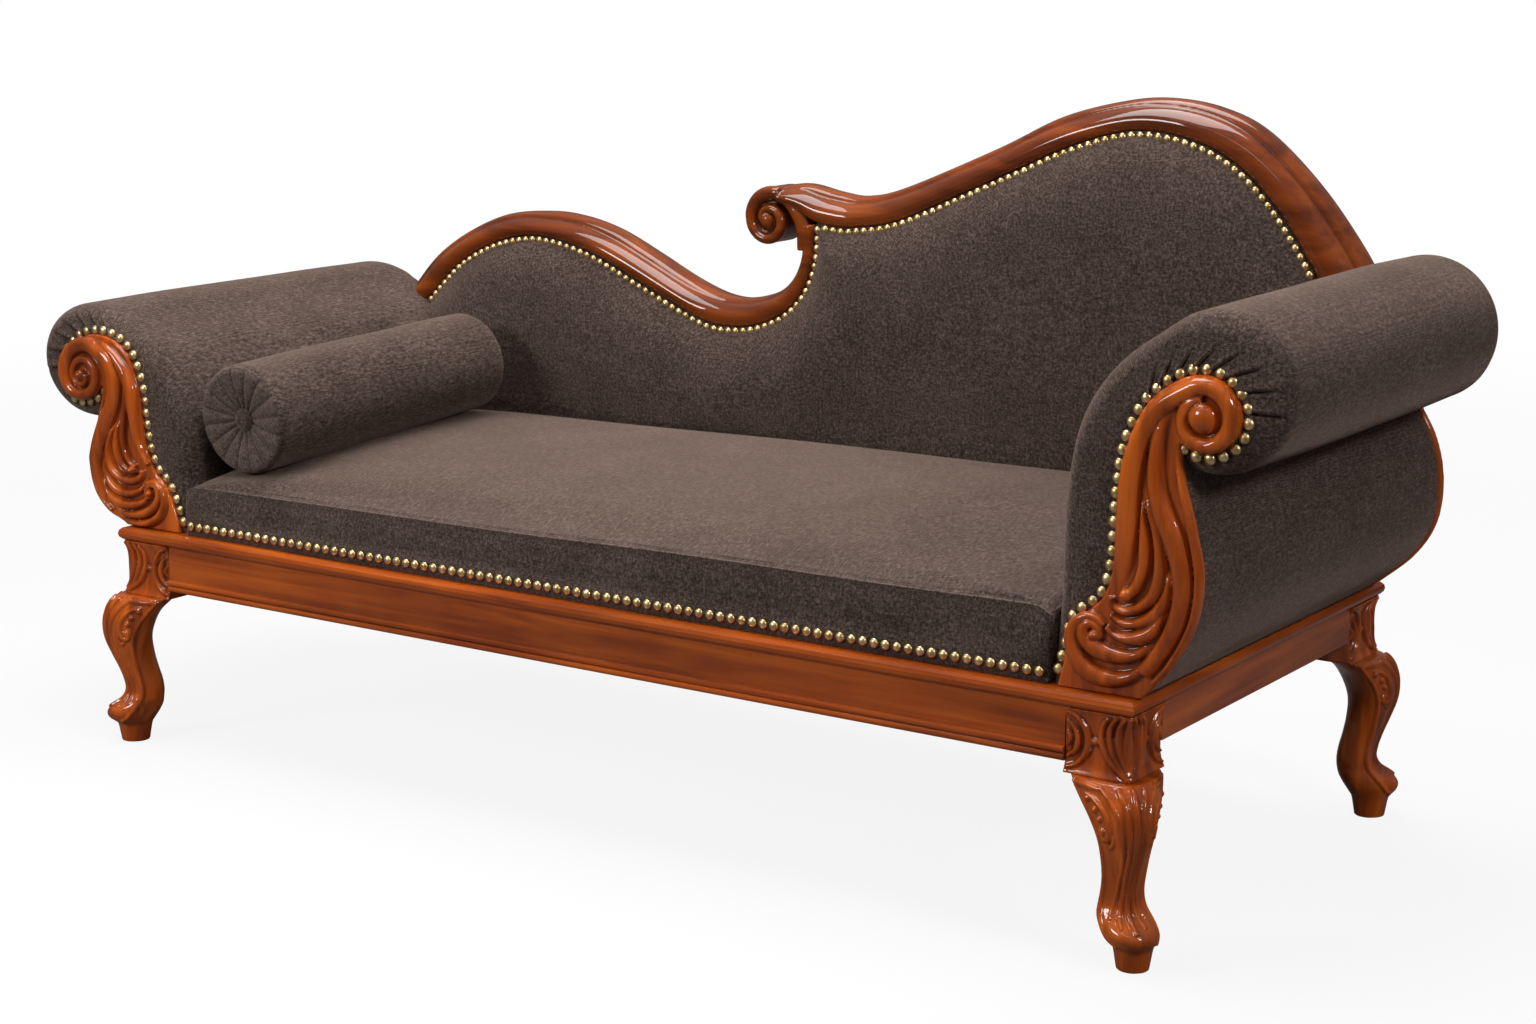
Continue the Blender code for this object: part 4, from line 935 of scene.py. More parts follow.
def makeLeg(swing):
    settings = legSettings
    surface = makeLegSurface(swing)
    shares = np.linspace(0.0, 1.0, 110)
    angles = np.linspace(0, 360, 64, endpoint=False)
    parts = [loft([[surface(share, angle) for angle in angles] for share in shares])]
    for side in (-1, 1):
        for start, middle, end, height, spots in settings["stem"]:
            if spots[0][1] or side > 0:
                parts.append(surfaceStrand(surface, spots, start, middle, end, height, side))
        for start, middle, end, height, spots in settings["scroll"] + (settings["edge"],):
            parts.append(surfaceStrand(surface, spots, start, middle, end, height, side))
        for share, angle, radius in settings["beads"]:
            parts.append(ball(surface(share, angle * side), (radius * mm,) * 3))
    piece = addPiece("legPattern", *joined(parts), woodZLit)
    fuse(piece, settings["voxel"], 2)
    mesh = piece.data
    for vertex in mesh.vertices:     # the carving is trimmed level with both ends
        vertex.co.z = min(max(vertex.co.z, 0.0), settings["height"])
    markHollows(piece, 0.0010)
    bpy.data.objects.remove(piece)
    return mesh


def placeCopy(name, mesh, spot, turn, replaced):
    mesh = mesh.copy()
    mesh.transform(Matrix.Translation(spot) @ Matrix.Rotation(turn, 4, "Z"))
    piece = bpy.data.objects.new(name, mesh)
    scene.collection.objects.link(piece)
    return finishPiece(piece, "sofa_frame", [replaced])


# Corner blocks: strands on each face, in mm from the outer corner and from the foot of the block
blockSettings = {
    "height": 0.0794,
    "width": 0.0900,
    "outer": (0.8285, 0.3660),
    "bottom": 0.2273,
    "waist": 0.0070,
    "round": 0.007,
    "voxel": 0.0013,
    "strands": (
        (2.5, 5.0, 2.0, 6.0, ((32, 74), (41, 61), (41, 43), (31, 23), (15, 9), (3, 3))),
        (2.5, 5.2, 2.0, 6.6, ((21, 76), (30, 62), (30, 45), (22, 25), (9, 8))),
        (2.5, 5.2, 2.0, 7.0, ((10, 77), (18, 63), (19, 46), (13, 25), (4, 8))),
        (2.0, 4.8, 2.0, 6.0, ((87, 75), (74, 70), (63, 57), (59, 41), (63, 25), (74, 12), (87, 7))),
        (2.0, 4.6, 2.0, 5.6, ((87, 63), (77, 55), (72, 42), (76, 28), (87, 19))),
        (1.8, 3.6, 1.8, 5.0, ((87, 50), (82, 42), (86, 33))),
    ),
    "corner": (3.0, 6.5, 2.5, 6.0, (76, 62, 45, 26, 10, 4)),
    "bead": (50, 42, 4.2),
}


def makeBlock():
    settings = blockSettings
    half = settings["width"] / 2
    height = settings["height"]

    def face(rise):
        return half - settings["waist"] * (1 - (2 * rise / height - 1) ** 4)

    rings = []
    for rise in np.linspace(0.0, height, 60):
        edge = face(rise)
        corner = settings["round"]
        ring = [(-half, -half, rise), (edge, -half, rise)]
        for turn in np.linspace(0, 90, 9):
            angle = math.radians(turn)
            reachX = edge - corner + corner * math.cos(angle)
            reachY = edge - corner + corner * math.sin(angle)
            ring.append((reachX, reachY, rise))
        rings.append(ring + [(-half, edge, rise)])
    parts = [loft(rings)]
    for start, middle, end, tall, spots in settings["strands"]:
        line = evenLine(smoothLine(np.array(spots, float) * mm, 8), 40)
        widths = threeWidths(40, start, middle, end) * mm
        heights = tall * mm * np.minimum(1.0, 0.4 + 0.6 * widths / widths.max())
        across = np.array([(face(rise), half - away, rise) for away, rise in line])
        parts.append(strand(across, np.tile((1.0, 0.0, 0.0), (40, 1)), widths, heights, 12))
        along = np.array([(half - away, face(rise), rise) for away, rise in line])
        parts.append(strand(along, np.tile((0.0, 1.0, 0.0), (40, 1)), widths, heights, 12))
    start, middle, end, tall, rises = settings["corner"]
    rises = evenLine(smoothLine([(rise * mm, 0.0) for rise in rises], 8), 40)[:, 0]
    path = np.array([(face(rise) - 0.003, face(rise) - 0.003, rise) for rise in rises])
    widths = threeWidths(40, start, middle, end) * mm
    parts.append(strand(path, np.tile((0.7071, 0.7071, 0.0), (40, 1)), widths, np.full(40, tall * mm), 12))
    away, rise, radius = settings["bead"]
    parts.append(ball((face(rise * mm), half - away * mm, rise * mm), (radius * mm,) * 3))
    parts.append(ball((half - away * mm, face(rise * mm), rise * mm), (radius * mm,) * 3))
    piece = addPiece("blockPattern", *joined(parts), woodZLit)
    fuse(piece, settings["voxel"], 3)
    mesh = piece.data
    for vertex in mesh.vertices:
        vertex.co.x = min(max(vertex.co.x, -half), half)
        vertex.co.y = min(max(vertex.co.y, -half), half)
        vertex.co.z = min(max(vertex.co.z, 0.0), height)
    markHollows(piece, 0.0010)
    bpy.data.objects.remove(piece)
    return mesh


legPatterns = {sign: makeLeg(sign * legSettings["swing"]) for sign in (-1, 1)}
blockPattern = makeBlock()
for end, endName in ((-1, "left"), (1, "right")):
    for face, faceName in ((-1, "front"), (1, "rear")):
        title = faceName.capitalize() + endName.capitalize()
        turn = math.atan2(face, end)
        footX, footY = legSettings["foot"]
        placeCopy(f"leg{title}", legPatterns[end * face], (end * footX, face * footY, 0.0), turn,
                  f"leg_{faceName}_{endName}")
        half = blockSettings["width"] / 2
        outerX, outerY = blockSettings["outer"]
        placeCopy(f"cornerBlock{title}", blockPattern,
                  (end * (outerX - half), face * (outerY - half), blockSettings["bottom"]),
                  turn - math.radians(45), f"corner_block_{faceName}_{endName}")
print("legs and corner blocks carved")


# Crest rails: lines as share of half the seat length and mm above the moulding
crestSettings = {
    "front": 0.2760,
    "depth": 0.0740,
    "voxel": 0.0020,
    "profile": (
        (0.00, 0.98), (0.00, 0.55), (0.00, 0.14), (0.05, 0.06), (0.16, 0.015), (0.30, 0.00),
        (0.45, 0.02), (0.58, 0.075), (0.68, 0.15), (0.735, 0.24), (0.765, 0.31), (0.81, 0.315),
        (0.88, 0.33), (0.95, 0.40), (0.985, 0.50), (1.00, 0.58), (0.985, 0.68), (0.965, 0.71),
        (0.955, 0.76), (0.90, 0.88), (0.80, 0.96), (0.55, 1.00), (0.15, 1.00),
    ),
    "low": {
        "lower": (
            (-1.015, 205), (-0.985, 236), (-0.948, 267), (-0.862, 332), (-0.765, 371), (-0.665, 384),
            (-0.549, 366), (-0.422, 322), (-0.289, 277), (-0.220, 272), (-0.165, 280), (-0.110, 302),
            (-0.070, 338), (-0.050, 384), (-0.047, 436),
        ),
        "upper": (
            (-1.080, 205), (-1.050, 240), (-1.010, 282), (-0.948, 336), (-0.868, 379), (-0.776, 410),
            (-0.680, 420), (-0.605, 418), (-0.525, 403), (-0.441, 373), (-0.357, 340), (-0.287, 318),
            (-0.226, 312), (-0.170, 320), (-0.128, 336), (-0.100, 366), (-0.090, 396), (-0.096, 428),
        ),
        "rings": 230,
        "arm": "left",
    },
    "high": {
        "lower": (
            (-0.128, 465), (-0.105, 461), (-0.078, 452), (-0.048, 439), (0.000, 434), (0.040, 436),
            (0.132, 452), (0.327, 522), (0.458, 570), (0.572, 596),
            (0.675, 588), (0.760, 557), (0.830, 503), (0.898, 424), (0.950, 340),
        ),
        "upper": (
            (-0.132, 487), (-0.082, 491), (-0.018, 482), (0.040, 479), (0.120, 496), (0.302, 560),
            (0.423, 608), (0.541, 634), (0.625, 640), (0.712, 630), (0.790, 602), (0.883, 534),
            (0.960, 456), (1.010, 390),
        ),
        "rings": 260,
        "arm": "right",
    },
    "eye": (-0.151, 436),
    # turn of the scroll, reach of its middle line and half width in mm
    "scroll": ((62, 46, 9.5), (90, 39.5, 11), (135, 33, 10), (180, 28.5, 9), (225, 27.5, 8.5),
               (270, 28, 8), (315, 27, 8), (360, 25, 8), (405, 21.5, 7.2), (450, 17.5, 6.5),
               (500, 12.5, 5.5), (545, 8, 4.5)),
    "branch": ((-0.067, 396), (-0.070, 415), (-0.077, 434), (-0.090, 451), (-0.108, 463), (-0.128, 469)),
    "branchWidths": (16.5, 11.5, 3.5),
}


def crestSpots(spots):
    return np.array([(share * endX, mouldingTop + rise * mm) for share, rise in spots])


def stuffedLine(arm, steps=90):
    # outline of the stuffed side of an arm: up the inner wall, then round the roll
    centre = armSpot(arm["rollCentre"])
    wall = [np.array((endX - 0.1225, standZ))] + [armSpot(spot) for spot in arm["wall"]]
    turns = np.radians(np.linspace(125, arm["rollEnd"], steps))
    width, height = arm["rollRadii"]
    arc = centre + mm * np.stack([width * np.cos(turns), height * np.sin(turns)], axis=1)
    return np.vstack([smoothLine(wall + [arc[0]], 10)[:-1], arc])


def insideLine(line, spots):
    # even-odd test of flat points against a closed line
    inside = np.zeros(len(spots), bool)
    for start, end in zip(line, np.roll(line, -1, axis=0)):
        crosses = (start[1] > spots[:, 1]) != (end[1] > spots[:, 1])
        reach = start[0] + (spots[:, 1] - start[1]) * (end[0] - start[0]) / (end[1] - start[1] + 1e-12)
        inside ^= crosses & (spots[:, 0] < reach)
    return inside


def armShape(name, sink):
    # the line of an arm's stuffing, a little sunk in, and the same line closed below
    line = shiftLine(stuffedLine(armTables[name]), sink)
    return line, np.vstack([line, (line[-1, 0], standZ - 0.05), (line[0, 0], standZ - 0.05)])


def movedOut(points, name, line, around):
    # points inside the closed line come out to the open one
    side = armTables[name]["side"]
    points = np.array(points, float)
    spots = np.stack([side * points[:, 0], points[:, 2]], axis=1)
    fine = evenLine(line, 1200)
    for index in np.flatnonzero(insideLine(around, spots)):
        nearest = fine[np.argmin(np.sum((fine - spots[index]) ** 2, axis=1))]
        points[index, 0] = side * nearest[0]
        points[index, 2] = nearest[1]
    return points


def clearOfArm(points, name, sink):
    return movedOut(points, name, *armShape(name, sink))


def clearOfRearBoard(points, name):
    arm = armTables[name]
    around = facingOutline(arm, "rearOuter")
    around[[0, -1], 1] = standZ - 0.05
    return movedOut(points, name, armLine(arm, "inner"), around)


def crestRings(name):
    settings = crestSettings
    rail = settings[name]
    lower = evenLine(smoothLine(crestSpots(rail["lower"]), 10), rail["rings"])
    upper = evenLine(smoothLine(crestSpots(rail["upper"]), 10), rail["rings"])
    profile = list(settings["profile"])
    loop = smoothLine([profile[-1]] + profile + [profile[0], profile[1]], 2)[2:-3]
    side = armTables[rail["arm"]]["side"]
    around = armShape(rail["arm"], 0.006)[1]
    buried = insideLine(around, lower * (side, 1)) & insideLine(around, upper * (side, 1))
    shown = np.flatnonzero(~buried)
    rings = []
    for low, high in zip(lower[shown], upper[shown]):
        spots = low + (high - low) * loop[:, :1]
        depths = settings["front"] + settings["depth"] * loop[:, 1]
        rings.append(np.stack([spots[:, 0], depths, spots[:, 1]], axis=1))
    return rings


def makeScroll():
    # the volute: a solid drum with the winding ribbon on its front
    settings = crestSettings
    eye = crestSpots([settings["eye"]])[0]
    table = np.array(settings["scroll"], float)
    turns = np.linspace(table[0, 0], table[-1, 0], 120)
    reach = np.interp(turns, table[:, 0], table[:, 1]) * mm
    widths = np.interp(turns, table[:, 0], table[:, 2]) * mm
    spin = np.stack([np.cos(np.radians(turns)), np.sin(np.radians(turns))], axis=1)
    line = eye + reach[:, None] * spin
    front = settings["front"] + 0.0105
    rear = settings["front"] + settings["depth"] - 0.006
    rim = []
    for degrees in np.linspace(62, 62 + 360, 90, endpoint=False):
        edge = np.interp(degrees, table[:, 0], table[:, 1] + table[:, 2]) * mm - 0.0012
        angle = math.radians(degrees)
        rim.append((eye[0] + edge * math.cos(angle), eye[1] + edge * math.sin(angle)))
    rim = np.array(rim)
    core = eye + (rim - eye) * 0.93
    steps = ((front, rim), (rear - 0.004, rim), (rear, core))
    drum = [[(x, y, z) for x, z in edge] for y, edge in steps]
    path = np.stack([line[:, 0], np.full(len(line), front), line[:, 1]], axis=1)
    normals = np.tile((0.0, -1.0, 0.0), (len(path), 1))
    heights = np.interp(np.linspace(0, 1, len(path)), (0, 0.6, 1.0), (0.0105, 0.0095, 0.0085))
    parts = [loft(drum), strand(path, normals, widths, heights)]
    parts.append(ball((eye[0], front, eye[1]), (0.0125, 0.0095, 0.0125), 12, 28))
    branch = evenLine(smoothLine(crestSpots(settings["branch"]), 8), 40)
    reachWidths = threeWidths(40, *settings["branchWidths"]) * mm
    for y, rise, flip in ((front, 0.0095, -1.0), (rear, 0.0035, 1.0)):
        path = np.stack([branch[:, 0], np.full(40, y), branch[:, 1]], axis=1)
        parts.append(strand(path, np.tile((0.0, flip, 0.0), (40, 1)), reachWidths, np.full(40, rise)))
    left = shiftLine(branch, 1.0) - branch
    away = left * reachWidths[:, None]
    body = np.vstack([branch + away, (branch - away)[::-1]])
    parts.append(loft([[(x, y, z) for x, z in body] for y in (front, rear)]))
    return parts


def makeCrest(name):
    points, faces = loft(crestRings(name))
    parts = [(clearOfArm(points, crestSettings[name]["arm"], 0.004), faces)]
    if name == "high":
        parts += makeScroll()
    piece = addPiece(f"{name}Crest", *joined(parts), crestShadedWood)
    fuse(piece, crestSettings["voxel"], 4)
    markHollows(piece, 0.0013)
    return finishPiece(piece, "sofa_frame", [f"{name}_crest_rail"])


for crestName in ("low", "high"):
    makeCrest(crestName)
print("crest rails carved")


# Stuffed arms
armPadSettings = {
    "end": 0.3365,         # half the length
    "shift": -0.0065,      # the front end reaches further than the rear one
    "round": 0.036,
    "pleats": (-12, 8, 28, 48, 68, 88, 107, 126),    # degrees round the roll
    "pleatDepth": 0.0050,
    "pleatWidth": 0.0027,
    "pleatLength": 0.066,
    "panelRecess": 0.0025,
    "postReveal": 0.0050,
    "postFoot": 0.0675,
    "steps": 420,
    "crown": 0.0022,       # how much fuller the middle is than the ends
    "dish": 0.0035,
    "ripple": (0.42, 0.0010, 3),    # size, depth and seed of the unevenness
}


def ripple(points, size, depth, seed):
    # slow unevenness of stuffing, the same each run
    turn = np.random.default_rng(seed).uniform(-1.0, 1.0, (6, 4))
    total = np.zeros(len(points))
    for x, y, z, phase in turn:
        run = points[:, 0] * x + points[:, 1] * y + points[:, 2] * z
        total += np.sin(run * math.tau / size + phase * 3)
    return depth * total / 3.0


def makeArmPad(name):
    arm = armTables[name]
    settings = armPadSettings
    count = settings["steps"]
    stuffed = evenLine(stuffedLine(arm), count)
    inner = shiftLine(evenLine(armLine(arm, "inner"), count), 0.005)
    panelCount = 60
    panels = []
    for key in ("outer", "rearOuter"):
        outer = evenLine(armLine(arm, key), panelCount + 1)
        panels.append([shiftLine(outer, inset)[1:] for inset in (settings["panelRecess"], 0.008)])
    panel, tucked = panels[0]
    bulges = [rear - front for front, rear in zip(*panels)]
    hollow = shiftLine(facingOutline(arm), settings["postReveal"] + 0.006)
    hollow[:, 0] = np.maximum(hollow[:, 0], endX - settings["postFoot"])
    hollow = evenLine(hollow, 150)[::-1]
    wide = np.vstack([stuffed, panel])
    narrow = np.vstack([inner, tucked])
    for line in (wide, narrow, hollow):
        line[:, 1] = np.maximum(line[:, 1], standZ)
    for line in (wide, narrow):
        line[0, 1] = standZ
        line[-1, 1] = standZ
    span = np.linalg.norm(wide - narrow, axis=1)
    centre = armSpot(arm["rollCentre"])
    bearing = np.degrees(np.arctan2(wide[:, 1] - centre[1], wide[:, 0] - centre[0]))
    reach = np.linalg.norm(wide - centre, axis=1)
    bend = np.minimum(settings["round"], 0.72 * span)
    flat = 1.0 - bend / np.maximum(span, 1e-6)
    outward = -(shiftLine(wide, 1.0) - wide)
    outward[count:] = 0.0
    sections = [(share, 0.0) for share in np.linspace(0.0, 1.0, 9)[:-1]]
    sections += [(1.0, turn) for turn in np.linspace(0.0, 90.0, 12)]
    lengths = []
    rings = []
    turns = []
    for share, turn in sections:
        turns.append(math.radians(turn))
        part = flat * share + (1 - flat) * math.sin(math.radians(turn))
        back = bend * (1 - math.cos(math.radians(turn)))
        back = back - settings["dish"] * math.sin(math.pi * share) * (turn == 0)
        flatRing = narrow + (wide - narrow) * part[:, None]
        rings.append((flatRing, settings["end"] - back))
        bent = span * flat + bend * math.radians(turn)
        lengths.append(span * part * (turn == 0) + bent * (turn > 0))
    middle = np.linspace(settings["end"] - settings["round"], 0.0, 26)[1:]
    for y in middle:
        turns.append(math.pi / 2)
        rings.append((wide, np.minimum(settings["end"] - bend, np.full(len(wide), y))))
        lengths.append(lengths[-1] + 0.011)
    flatRings = []
    shadedCreases = []
    for (ring, y), along, turn in zip(rings, lengths, turns):
        push = np.zeros(len(ring))
        # the mask below marks painted shade along each pleat
        creaseShade = np.zeros(len(ring))
        for degrees in settings["pleats"]:
            away = np.radians(bearing - degrees) * reach
            fade = ease((along - 0.006) / 0.008) * ease((settings["pleatLength"] - along) / 0.030)
            push -= settings["pleatDepth"] * np.exp(-(away / settings["pleatWidth"]) ** 2) * fade
            creaseShade += np.exp(-(away / (0.8 * settings["pleatWidth"])) ** 2) * fade
            push += 0.45 * settings["pleatDepth"] * np.exp(-((away - 0.006) / 0.005) ** 2) * fade
        push[count:] = 0.0
        creaseShade[count:] = 0.0
        shadedCreases.append(np.concatenate([creaseShade, np.zeros(len(hollow))]))
        crown = settings["crown"] * ease((settings["end"] - y) / 0.2)
        sides = np.where(np.arange(len(ring)) < count, 1.0, 0.0) * ease((ring[:, 1] - standZ) / 0.03)
        moved = ring + outward * (push * math.sin(turn) + crown * sides)[:, None]
        flatRings.append((moved, y + push * math.cos(turn)))
    solid = []
    for sign, order in ((-1, flatRings), (1, flatRings[::-1][1:])):
        for ring, y in order:
            depth = sign * y + settings["shift"]
            shape = np.stack([arm["side"] * ring[:, 0], depth, ring[:, 1]], axis=1)
            toRear = (sign * y[count:, None] / settings["end"] + 1) / 2
            shape[count:, ::2] += bulges[0] * toRear * (arm["side"], 1.0)
            uneven = ripple(shape[:count], *settings["ripple"])
            shape[:count, 2] += uneven * ease((shape[:count, 2] - standZ) / 0.1)
            depth = np.interp(np.linspace(0, 1, len(hollow)), (0, 1), (y[-1], y[0]))
            depth = sign * np.minimum(depth, settings["end"]) + settings["shift"]
            core = np.stack([arm["side"] * hollow[:, 0], depth, hollow[:, 1]], axis=1)
            solid.append(np.vstack([shape, core]))
    piece = addPiece(f"{name}ArmPad", *loft(solid), fabric)
    # the pleat mask paints shade along the pleats
    markHollows(piece, 0.0030, 10, np.concatenate(shadedCreases + shadedCreases[::-1][1:]))
    return finishPiece(piece, "sofa_frame", [f"{name}_arm_pad"])


for armName in armTables:
    makeArmPad(armName)
print("arm pads made")


# Seat pad: a front border, a welted edge and a crowned top that rises to the high end
seatSettings = {
    "front": -0.3500,
    "rear": 0.2544,
    "end": 0.7097,
    "border": 0.0735,
    "rise": 0.0220,
    "crown": 0.0360,
    "power": 3.5,
    "drop": 0.25,
    "bulge": 0.0045,
    "corner": 0.0060,
    "seam": 0.0015,        # rise of the welt along the front edge
    "welt": (25, 26, 27),  # its points in a section
    "wornAndLit": 0.30,          # how much painted light the top gets, laid on in a rubbed grit
    "topRows": (34, 105),  # the points of the top in a section
    "faceRows": 40,        # the points of the front face and its edge
    "endRoll": (0.011, 0.022),    # drop and width of the rounded ends
    "endSeam": (0.0013, 0.016, 0.0035),    # depth, place and width of the seam near each end
    "ripple": (0.55, 0.0016, 8),
    "channel": ((-0.2997, 0.3571), (0.2454, 0.3296)),
    "columns": 260,
    "pressure": 4.0,
    "swell": 0.006,
}


def seatTop(share, step):
    settings = seatSettings
    crown = settings["crown"] * (1 - settings["drop"] * (2 * share - 1) ** 8)
    return (standZ + settings["border"] + settings["rise"] * share
            + crown * (1 - (1 - step) ** settings["power"]))


def seatSection(share):
    settings = seatSettings
    front = settings["front"]
    seam = seatTop(share, 0.0)
    corner = settings["corner"]
    ring = [(front, standZ)]
    for step in np.linspace(0.0, 1.0, 22)[1:]:
        bulge = settings["bulge"] * math.sin(math.pi * min(step * 1.04, 1.0)) ** 0.8
        ring.append((front - bulge, standZ + (seam - corner - standZ) * step))
    for turn in np.linspace(0, 90, 13)[1:]:
        angle = math.radians(turn)
        radius = corner + settings["seam"] * math.exp(-((turn - 37.5) / 10) ** 2)
        y = front + corner - radius * math.cos(angle)
        ring.append((y, seam - corner + radius * math.sin(angle)))
    for step in np.linspace(0.0, 1.0, 72)[1:]:
        share2 = step ** 1.35
        y = front + corner + (settings["rear"] - 0.004 - front - corner) * share2
        tuck = 0.010 * ease((share2 - 0.965) / 0.035) ** 2
        ring.append((y, seatTop(share, (y - front) / (settings["rear"] - front)) - tuck))
    rear = settings["rear"]
    (stripRear, stripTop), (strapRear, strapTop) = settings["channel"]
    lip = front + 0.028
    ring += [(rear, ring[-1][1] - 0.008), (rear, standZ), (strapRear, standZ), (strapRear, strapTop)]
    ring += [(stripRear, strapTop), (stripRear, stripTop), (lip, stripTop), (lip, standZ)]
    return np.array(ring)


def makeSeat():
    settings = seatSettings
    rings = []
    shares = 0.5 - 0.5 * np.cos(np.linspace(0.0, math.pi, settings["columns"]))
    shares = 0.55 * shares + 0.45 * np.linspace(0.0, 1.0, settings["columns"])
    for share in shares:
        section = seatSection(share)
        x = settings["end"] * (2 * share - 1)
        near = settings["end"] - abs(x)
        drop, width = settings["endRoll"]
        roll = drop * (1 - ease(near / width)) ** 1.5
        depth, place, width = settings["endSeam"]
        seamLine = depth * math.exp(-((near - place) / width) ** 2)
        lift = ease((section[:, 1] - standZ - 0.05) / 0.03)
        section[:, 1] -= roll * lift
        face = section[:settings["faceRows"]]
        face[:, 0] += (seamLine + 0.35 * roll) * ease((face[:, 1] - standZ) / 0.01)
        shape = np.stack([np.full(len(section), x), section[:, 0], section[:, 1]], axis=1)
        top = ease((shape[:, 2] - standZ - 0.075) / 0.01)
        shape[:, 2] += ripple(shape, *settings["ripple"]) * top * ease(near / 0.08)
        rings.append(shape)
    piece = addPiece("seatPad", *loft(rings), fabric)
    spots = np.concatenate(rings)
    held = (spots[:, 2] < standZ + 0.022) | (spots[:, 1] > settings["rear"] - 0.03)
    held |= np.abs(spots[:, 0]) > settings["end"] - 0.012
    stuff(piece, held, settings["pressure"], settings["swell"])
    paintedLight = np.zeros((len(rings), len(rings[0])))
    # painted light on the top rows, in a rubbed grit
    paintedLight[:, slice(*settings["topRows"])] = settings["wornAndLit"]
    # painted highlight along the welt's crown
    paintedLight[:, settings["welt"]] = (0.5, 1.0, 0.5)
    markHollows(piece, 0.0016, 6, paintedLight=paintedLight.ravel())
    return finishPiece(piece, "sofa_frame", ["seat_pad"])


# Back pad: full in the middle and drawn in to the nails below the crest
backSettings = {
    "inside": {
        "flat": 0.2997, "edge": 0.2860, "full": 0.2547, "crown": 0.0100, "reach": 0.085, "swell": 0.006,
    },
    "outside": {
        "flat": 0.3353, "edge": 0.3372, "full": 0.3420, "crown": -0.0020, "reach": 0.030, "swell": 0.0025,
    },
    "corner": (-0.0391, 0.7605),    # where the lines under the two crests meet
    "ripple": (0.5, 0.0012, 5),
    "outsideEnds": ((-0.968, 222), (0.975, 318)),    # where the outside cover meets the rear boards
    "columns": 300,
    "rows": 64,
    "pressure": 4.0,
}


def nailLine(ends=None):
    # the line under both crests, left to right, with other ends where they are given
    low = crestSettings["low"]["lower"][1:]
    high = crestSettings["high"]["lower"][3:]
    if ends:
        low = ends[:1] + low[1:]
        high = high[:-1] + ends[1:]
    low = evenLine(smoothLine(crestSpots(low), 10), 400)
    high = evenLine(smoothLine(crestSpots(high), 10), 400)
    corner = np.array(backSettings["corner"])
    low = low[(low[:, 0] < corner[0] - 0.0002) & (low[:, 1] < corner[1])]
    high = high[high[:, 0] > corner[0] + 0.001]
    return np.vstack([low, corner[None], high])


def makeBack(side, replaced):
    settings = backSettings
    shape = settings[side]
    line = nailLine(settings["outsideEnds"] if side == "outside" else None)
    tops = evenLine(line, settings["columns"])
    tops[:, 0] = np.maximum.accumulate(tops[:, 0] + np.arange(len(tops)) * 1e-7)
    shares = np.linspace(0.0, 1.0, settings["rows"]) ** 1.3
    grid = np.empty((len(tops), len(shares), 3))
    for column, top in enumerate(tops):
        rise = top[1] - 0.0003 - (top[1] - 0.0003 - standZ) * shares
        grid[column, :, 0] = top[0]
        grid[column, :, 2] = rise
        spots = np.stack([np.full(len(rise), top[0]), rise], axis=1)
        away = np.sqrt(np.min(np.sum((spots[:, None] - line[None, ::3]) ** 2, axis=2), axis=1))
        puff = 1 - (1 - np.clip(away / shape["reach"], 0, 1)) ** 3
        lean = np.sin(math.pi * np.clip((rise - 0.42) / max(top[1] - 0.42, 0.05), 0.0, 1.0))
        grid[column, :, 1] = (shape["edge"] - (shape["edge"] - shape["full"]) * puff
                              - shape["crown"] * lean * ease(away / 0.10))
    cover = grid.reshape(-1, 3)
    uneven = ripple(cover, *settings["ripple"])
    cover[:, 1] += uneven * ease(np.abs(shape["edge"] - cover[:, 1]) / 0.02)
    if side == "inside":
        cover[:, 1] = np.where(cover[:, 2] < 0.44, np.maximum(cover[:, 1], shape["full"]), cover[:, 1])
    board = cover.copy()
    board[:, 1] = shape["flat"]
    rings = []
    for column in range(len(tops)):
        rows = slice(column * len(shares), (column + 1) * len(shares))
        rings.append(np.vstack([cover[rows], board[rows][::-1]]))
    points, faces = loft(rings)
    near = 0.25 * abs(shape["full"] - shape["edge"])
    held = (np.abs(points[:, 1] - shape["edge"]) < near) | (points[:, 2] < 0.46)
    held |= np.abs(points[:, 1] - shape["flat"]) < 0.0005
    for arm in ("left", "right"):
        clear = clearOfArm(points, arm, 0.0015) if side == "inside" else clearOfRearBoard(points, arm)
        held |= np.linalg.norm(clear - points, axis=1) > 1e-6
        points = clear
    piece = addPiece(f"{side}Back", points, faces, fabric)
    stuff(piece, held, settings["pressure"], shape["swell"])
    return finishPiece(piece, "sofa_frame", [replaced])


# Bolster: piped ends drawn in to a covered button
bolsterSettings = {
    "radius": 0.0800,
    "length": 0.5000,
    "corner": 0.0120,
    "puff": 0.0040,       # how far the ends swell past the length
    "seam": 0.0016,
    "taper": 0.0045,      # how much smaller the rear end is
    "dish": 0.0060,
    "pleats": 16,
    "pleatDepth": 0.0022,
    "pleatSides": 14,
    "button": 0.0170,
    "buttonSides": 36,
    "thick": 0.0080,
    "ripple": (0.22, 0.0007, 11),
}


